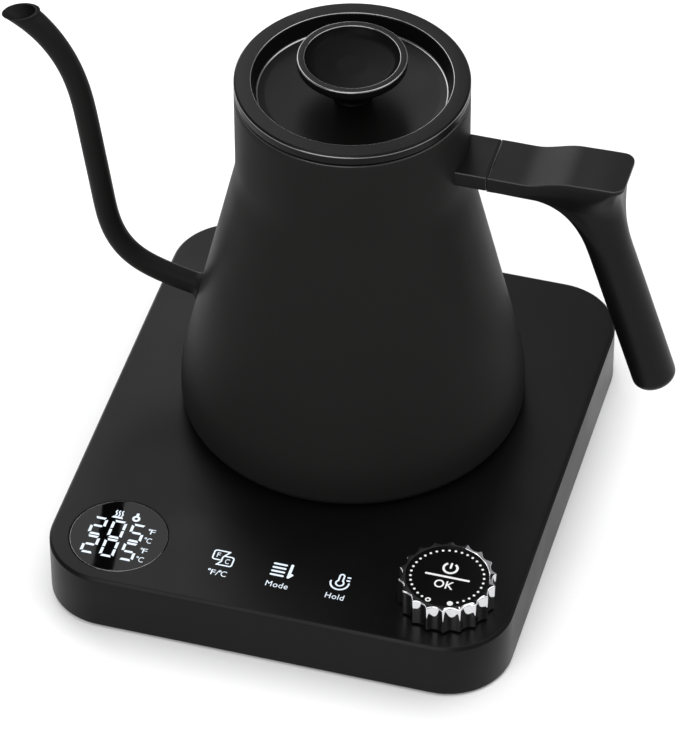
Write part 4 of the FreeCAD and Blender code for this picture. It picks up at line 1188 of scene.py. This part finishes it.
def handle():
    bm = bmesh.new()
    loops = rim_loops(bm) + arm_loops(bm)
    for level, faces in enumerate(skin(bm, loops)):
        for face in faces:
            # the eased edge faces take the paler material of the painted edge highlight
            face.material_index = 1 if 1 <= level < len(EASED_EDGE) else 0
    close_grip(bm, loops[-1])
    close_top(bm, loops[0])
    finished("handle_moulding", bm, "kettle", "grip_plastic", sharp=60.0,
             materials=[LOOKS["grip_plastic"], PAINTED_GRIP_EDGE_HIGHLIGHT], replaces=["handle_grip"])


def bracket():
    """Block that carries the arm on the neck, with eased long edges."""
    bm = bmesh.new()
    x0, y0, z0 = KETTLE_SPOT
    half_height = (ARM_TOP - ARM_LOW) / 2
    centre_z = (ARM_TOP + ARM_LOW) / 2
    levels = [(43.5, 0.0), (50.0, 0.0), (56.0, 0.0), (56.70, 0.0), (56.92, 0.09), (57.0, 0.3)]
    rings = []
    loop = rounded_loop(ARM_HALF, half_height, 0.6, 6, 4)
    turns = [abs(abs(p.x) - ARM_HALF) < 0.6 and abs(abs(p.y) - half_height) < 0.6 for p in loop]
    for x, inset in levels:
        loop = rounded_loop(ARM_HALF - inset, half_height - inset, 0.6, 6, 4)
        rings.append([bm.verts.new((x0 + x, y0 + p.x, z0 + centre_z + p.y)) for p in loop])
    for level, faces in enumerate(skin(bm, rings)):
        for step, face in enumerate(faces):
            corner = turns[step] and turns[(step + 1) % len(turns)]
            # the rounded corners and the end at the neck take the paler material of the painted edge
            # highlight
            face.material_index = 1 if corner or level >= 3 else 0
    fill_between(bm, [rings[0]])
    fill_between(bm, [rings[-1]])
    finished("handle_neck_block", bm, "kettle", "grip_plastic", sharp=50.0,
             materials=[LOOKS["grip_plastic"], PAINTED_GRIP_EDGE_HIGHLIGHT], replaces=["handle_bracket"])


handle()
bracket()


# ---------------------------------------------------------------- lid and knob

LID_TOP = 166.4
LID_BAND = 4.7
PLUG_LOW = 148.0
PLUG_RADIUS = 43.4
PLUG_INSIDE = 40.4
GROOVE_RADIUS = 42.0
GROOVE_LOW = 152.0
GROOVE_HIGH = 156.0


def lid():
    low = LID_TOP - LID_BAND + 0.25
    floor = LID_TOP - 7.0
    # fillets marked True carry the painted edge highlight
    outline = [(0.0, floor - 1.4), (12.0, floor - 1.3), (24.0, floor - 1.0),
               (34.0, floor - 0.4, 3.0), (37.3, floor + 0.1, 0.8, True), (38.95, LID_TOP - 0.5, 0.2),
               (39.35, LID_TOP, 0.32, True), (45.2, LID_TOP, 0.2),
               (NECK_RADIUS, LID_TOP - 0.8, 0.5, True), (NECK_RADIUS, low + 0.35, 0.2),
               (NECK_RADIUS - 0.4, low, 0.15), (PLUG_RADIUS, low), (PLUG_RADIUS, GROOVE_HIGH),
               (GROOVE_RADIUS, GROOVE_HIGH), (GROOVE_RADIUS, GROOVE_LOW),
               (PLUG_RADIUS, GROOVE_LOW), (PLUG_RADIUS, PLUG_LOW + 0.3, 0.3),
               (PLUG_RADIUS - 0.4, PLUG_LOW), (PLUG_INSIDE, PLUG_LOW), (PLUG_INSIDE, floor - 2.6),
               (8.5, floor - 3.0), (2.1, floor - 3.0), (2.1, floor - 2.9), (0.0, floor - 2.9)]
    return turned("lid_cap", outline, KETTLE_SPOT, "lid", "black_coating", 256, 6,
                  main=LID_COATING, replaces=["lid_shell"])


def knob():
    seat = LID_TOP - 8.4
    top = 177.2
    radius = 21.4
    # the rim and lip fillets marked True carry the painted edge highlight
    outline = [(0.0, seat + 0.4), (8.0, seat + 0.4, 0.2), (7.4, seat + 1.4, 1.5),
               (8.4, 165.4, 5.0), (13.5, 168.2, 4.0),
               (18.4, 170.4, 3.0), (radius, top - 3.6, 1.3), (radius, top, 0.45, True),
               (18.55, top, 0.3, True), (18.1, top - 1.0, 0.5), (16.0, top - 3.2, 4.0),
               (6.0, top - 4.2, 9.0), (0.0, top - 4.3)]
    return turned("lid_knob_turned", outline, KETTLE_SPOT, "lid", "black_coating", 200, 6,
                  main=LID_COATING, dish=(18.2, top - 4.5, DISH_COATING), replaces=["lid_knob"])


lid()
knob()


# ---------------------------------------------------------------- floor, light and camera

def floor():
    bm = bmesh.new()
    size, cells = 6000.0, 24
    grid = [[bm.verts.new(((i / cells - 0.5) * size, (j / cells - 0.5) * size, 0.0))
             for j in range(cells + 1)] for i in range(cells + 1)]
    for i in range(cells):
        for j in range(cells):
            bm.faces.new((grid[i][j], grid[i + 1][j], grid[i + 1][j + 1], grid[i][j + 1]))
    mesh = mesh_from("studio_floor", bm)
    mesh.transform(Matrix.Scale(MM, 4))
    mesh.materials.append(shader("studio_floor_white", (0.92, 0.92, 0.92), 0.7)[0])
    placed("studio_floor", mesh)


def lamp(name, place, target, size, power):
    data = bpy.data.lights.new(name, "AREA")
    data.shape = "RECTANGLE"
    data.size, data.size_y = size
    data.energy = power
    item = placed(name, data)
    item.location = place
    item.rotation_mode = "QUATERNION"
    item.rotation_quaternion = (Vector(place) - Vector(target)).to_track_quat("Z", "Y")


def studio():
    world = bpy.data.worlds.new("studio")
    world.use_nodes = True
    background = world.node_tree.nodes["Background"]
    background.inputs["Color"].default_value = (1.0, 1.0, 1.0, 1.0)
    background.inputs["Strength"].default_value = 0.37
    bpy.context.scene.world = world
    middle_point = Vector((0.0, 0.02, 0.05))
    softboxes = (("rear_left_softbox", (-0.52, 0.62, 0.70), 1.2, 0.9, 6.6),
                 ("overhead_softbox", (0.38, 0.12, 1.00), 1.8, 1.8, 21.0),
                 ("front_softbox", (-0.12, -0.80, 0.82), 2.2, 1.6, 25.0),
                 ("right_softbox", (1.00, 0.20, 0.75), 1.8, 1.4, 1.5))
    for name, towards, far, size, power in softboxes:
        place = middle_point + Vector(towards).normalized() * far
        lamp(name, place, middle_point, (size, size), power)
    view = bpy.context.scene.view_settings
    view.view_transform = "Standard"
    view.look = "None"


def camera():
    """Three-quarter view from above the controls, through a long lens."""
    place = Vector((0.43752, -1.50235, 1.54598))
    elevation, azimuth, roll = (math.radians(a) for a in (43.640, 16.0455, -0.30))
    back = Vector((math.sin(azimuth) * math.cos(elevation),
                   -math.cos(azimuth) * math.cos(elevation), math.sin(elevation)))
    right = Vector((0.0, 0.0, 1.0)).cross(back).normalized()
    up = back.cross(right)
    turned_right = right * math.cos(roll) + up * math.sin(roll)
    turned_up = up * math.cos(roll) - right * math.sin(roll)
    data = bpy.data.cameras.new("camera")
    data.sensor_width = 36.0
    data.lens = 257.7
    data.clip_start = 0.05
    data.clip_end = 50.0
    item = placed("camera", data)
    item.matrix_world = Matrix((
        (turned_right.x, turned_up.x, back.x, place.x),
        (turned_right.y, turned_up.y, back.y, place.y),
        (turned_right.z, turned_up.z, back.z, place.z),
        (0.0, 0.0, 0.0, 1.0)))
    bpy.context.scene.camera = item


floor()
studio()
camera()
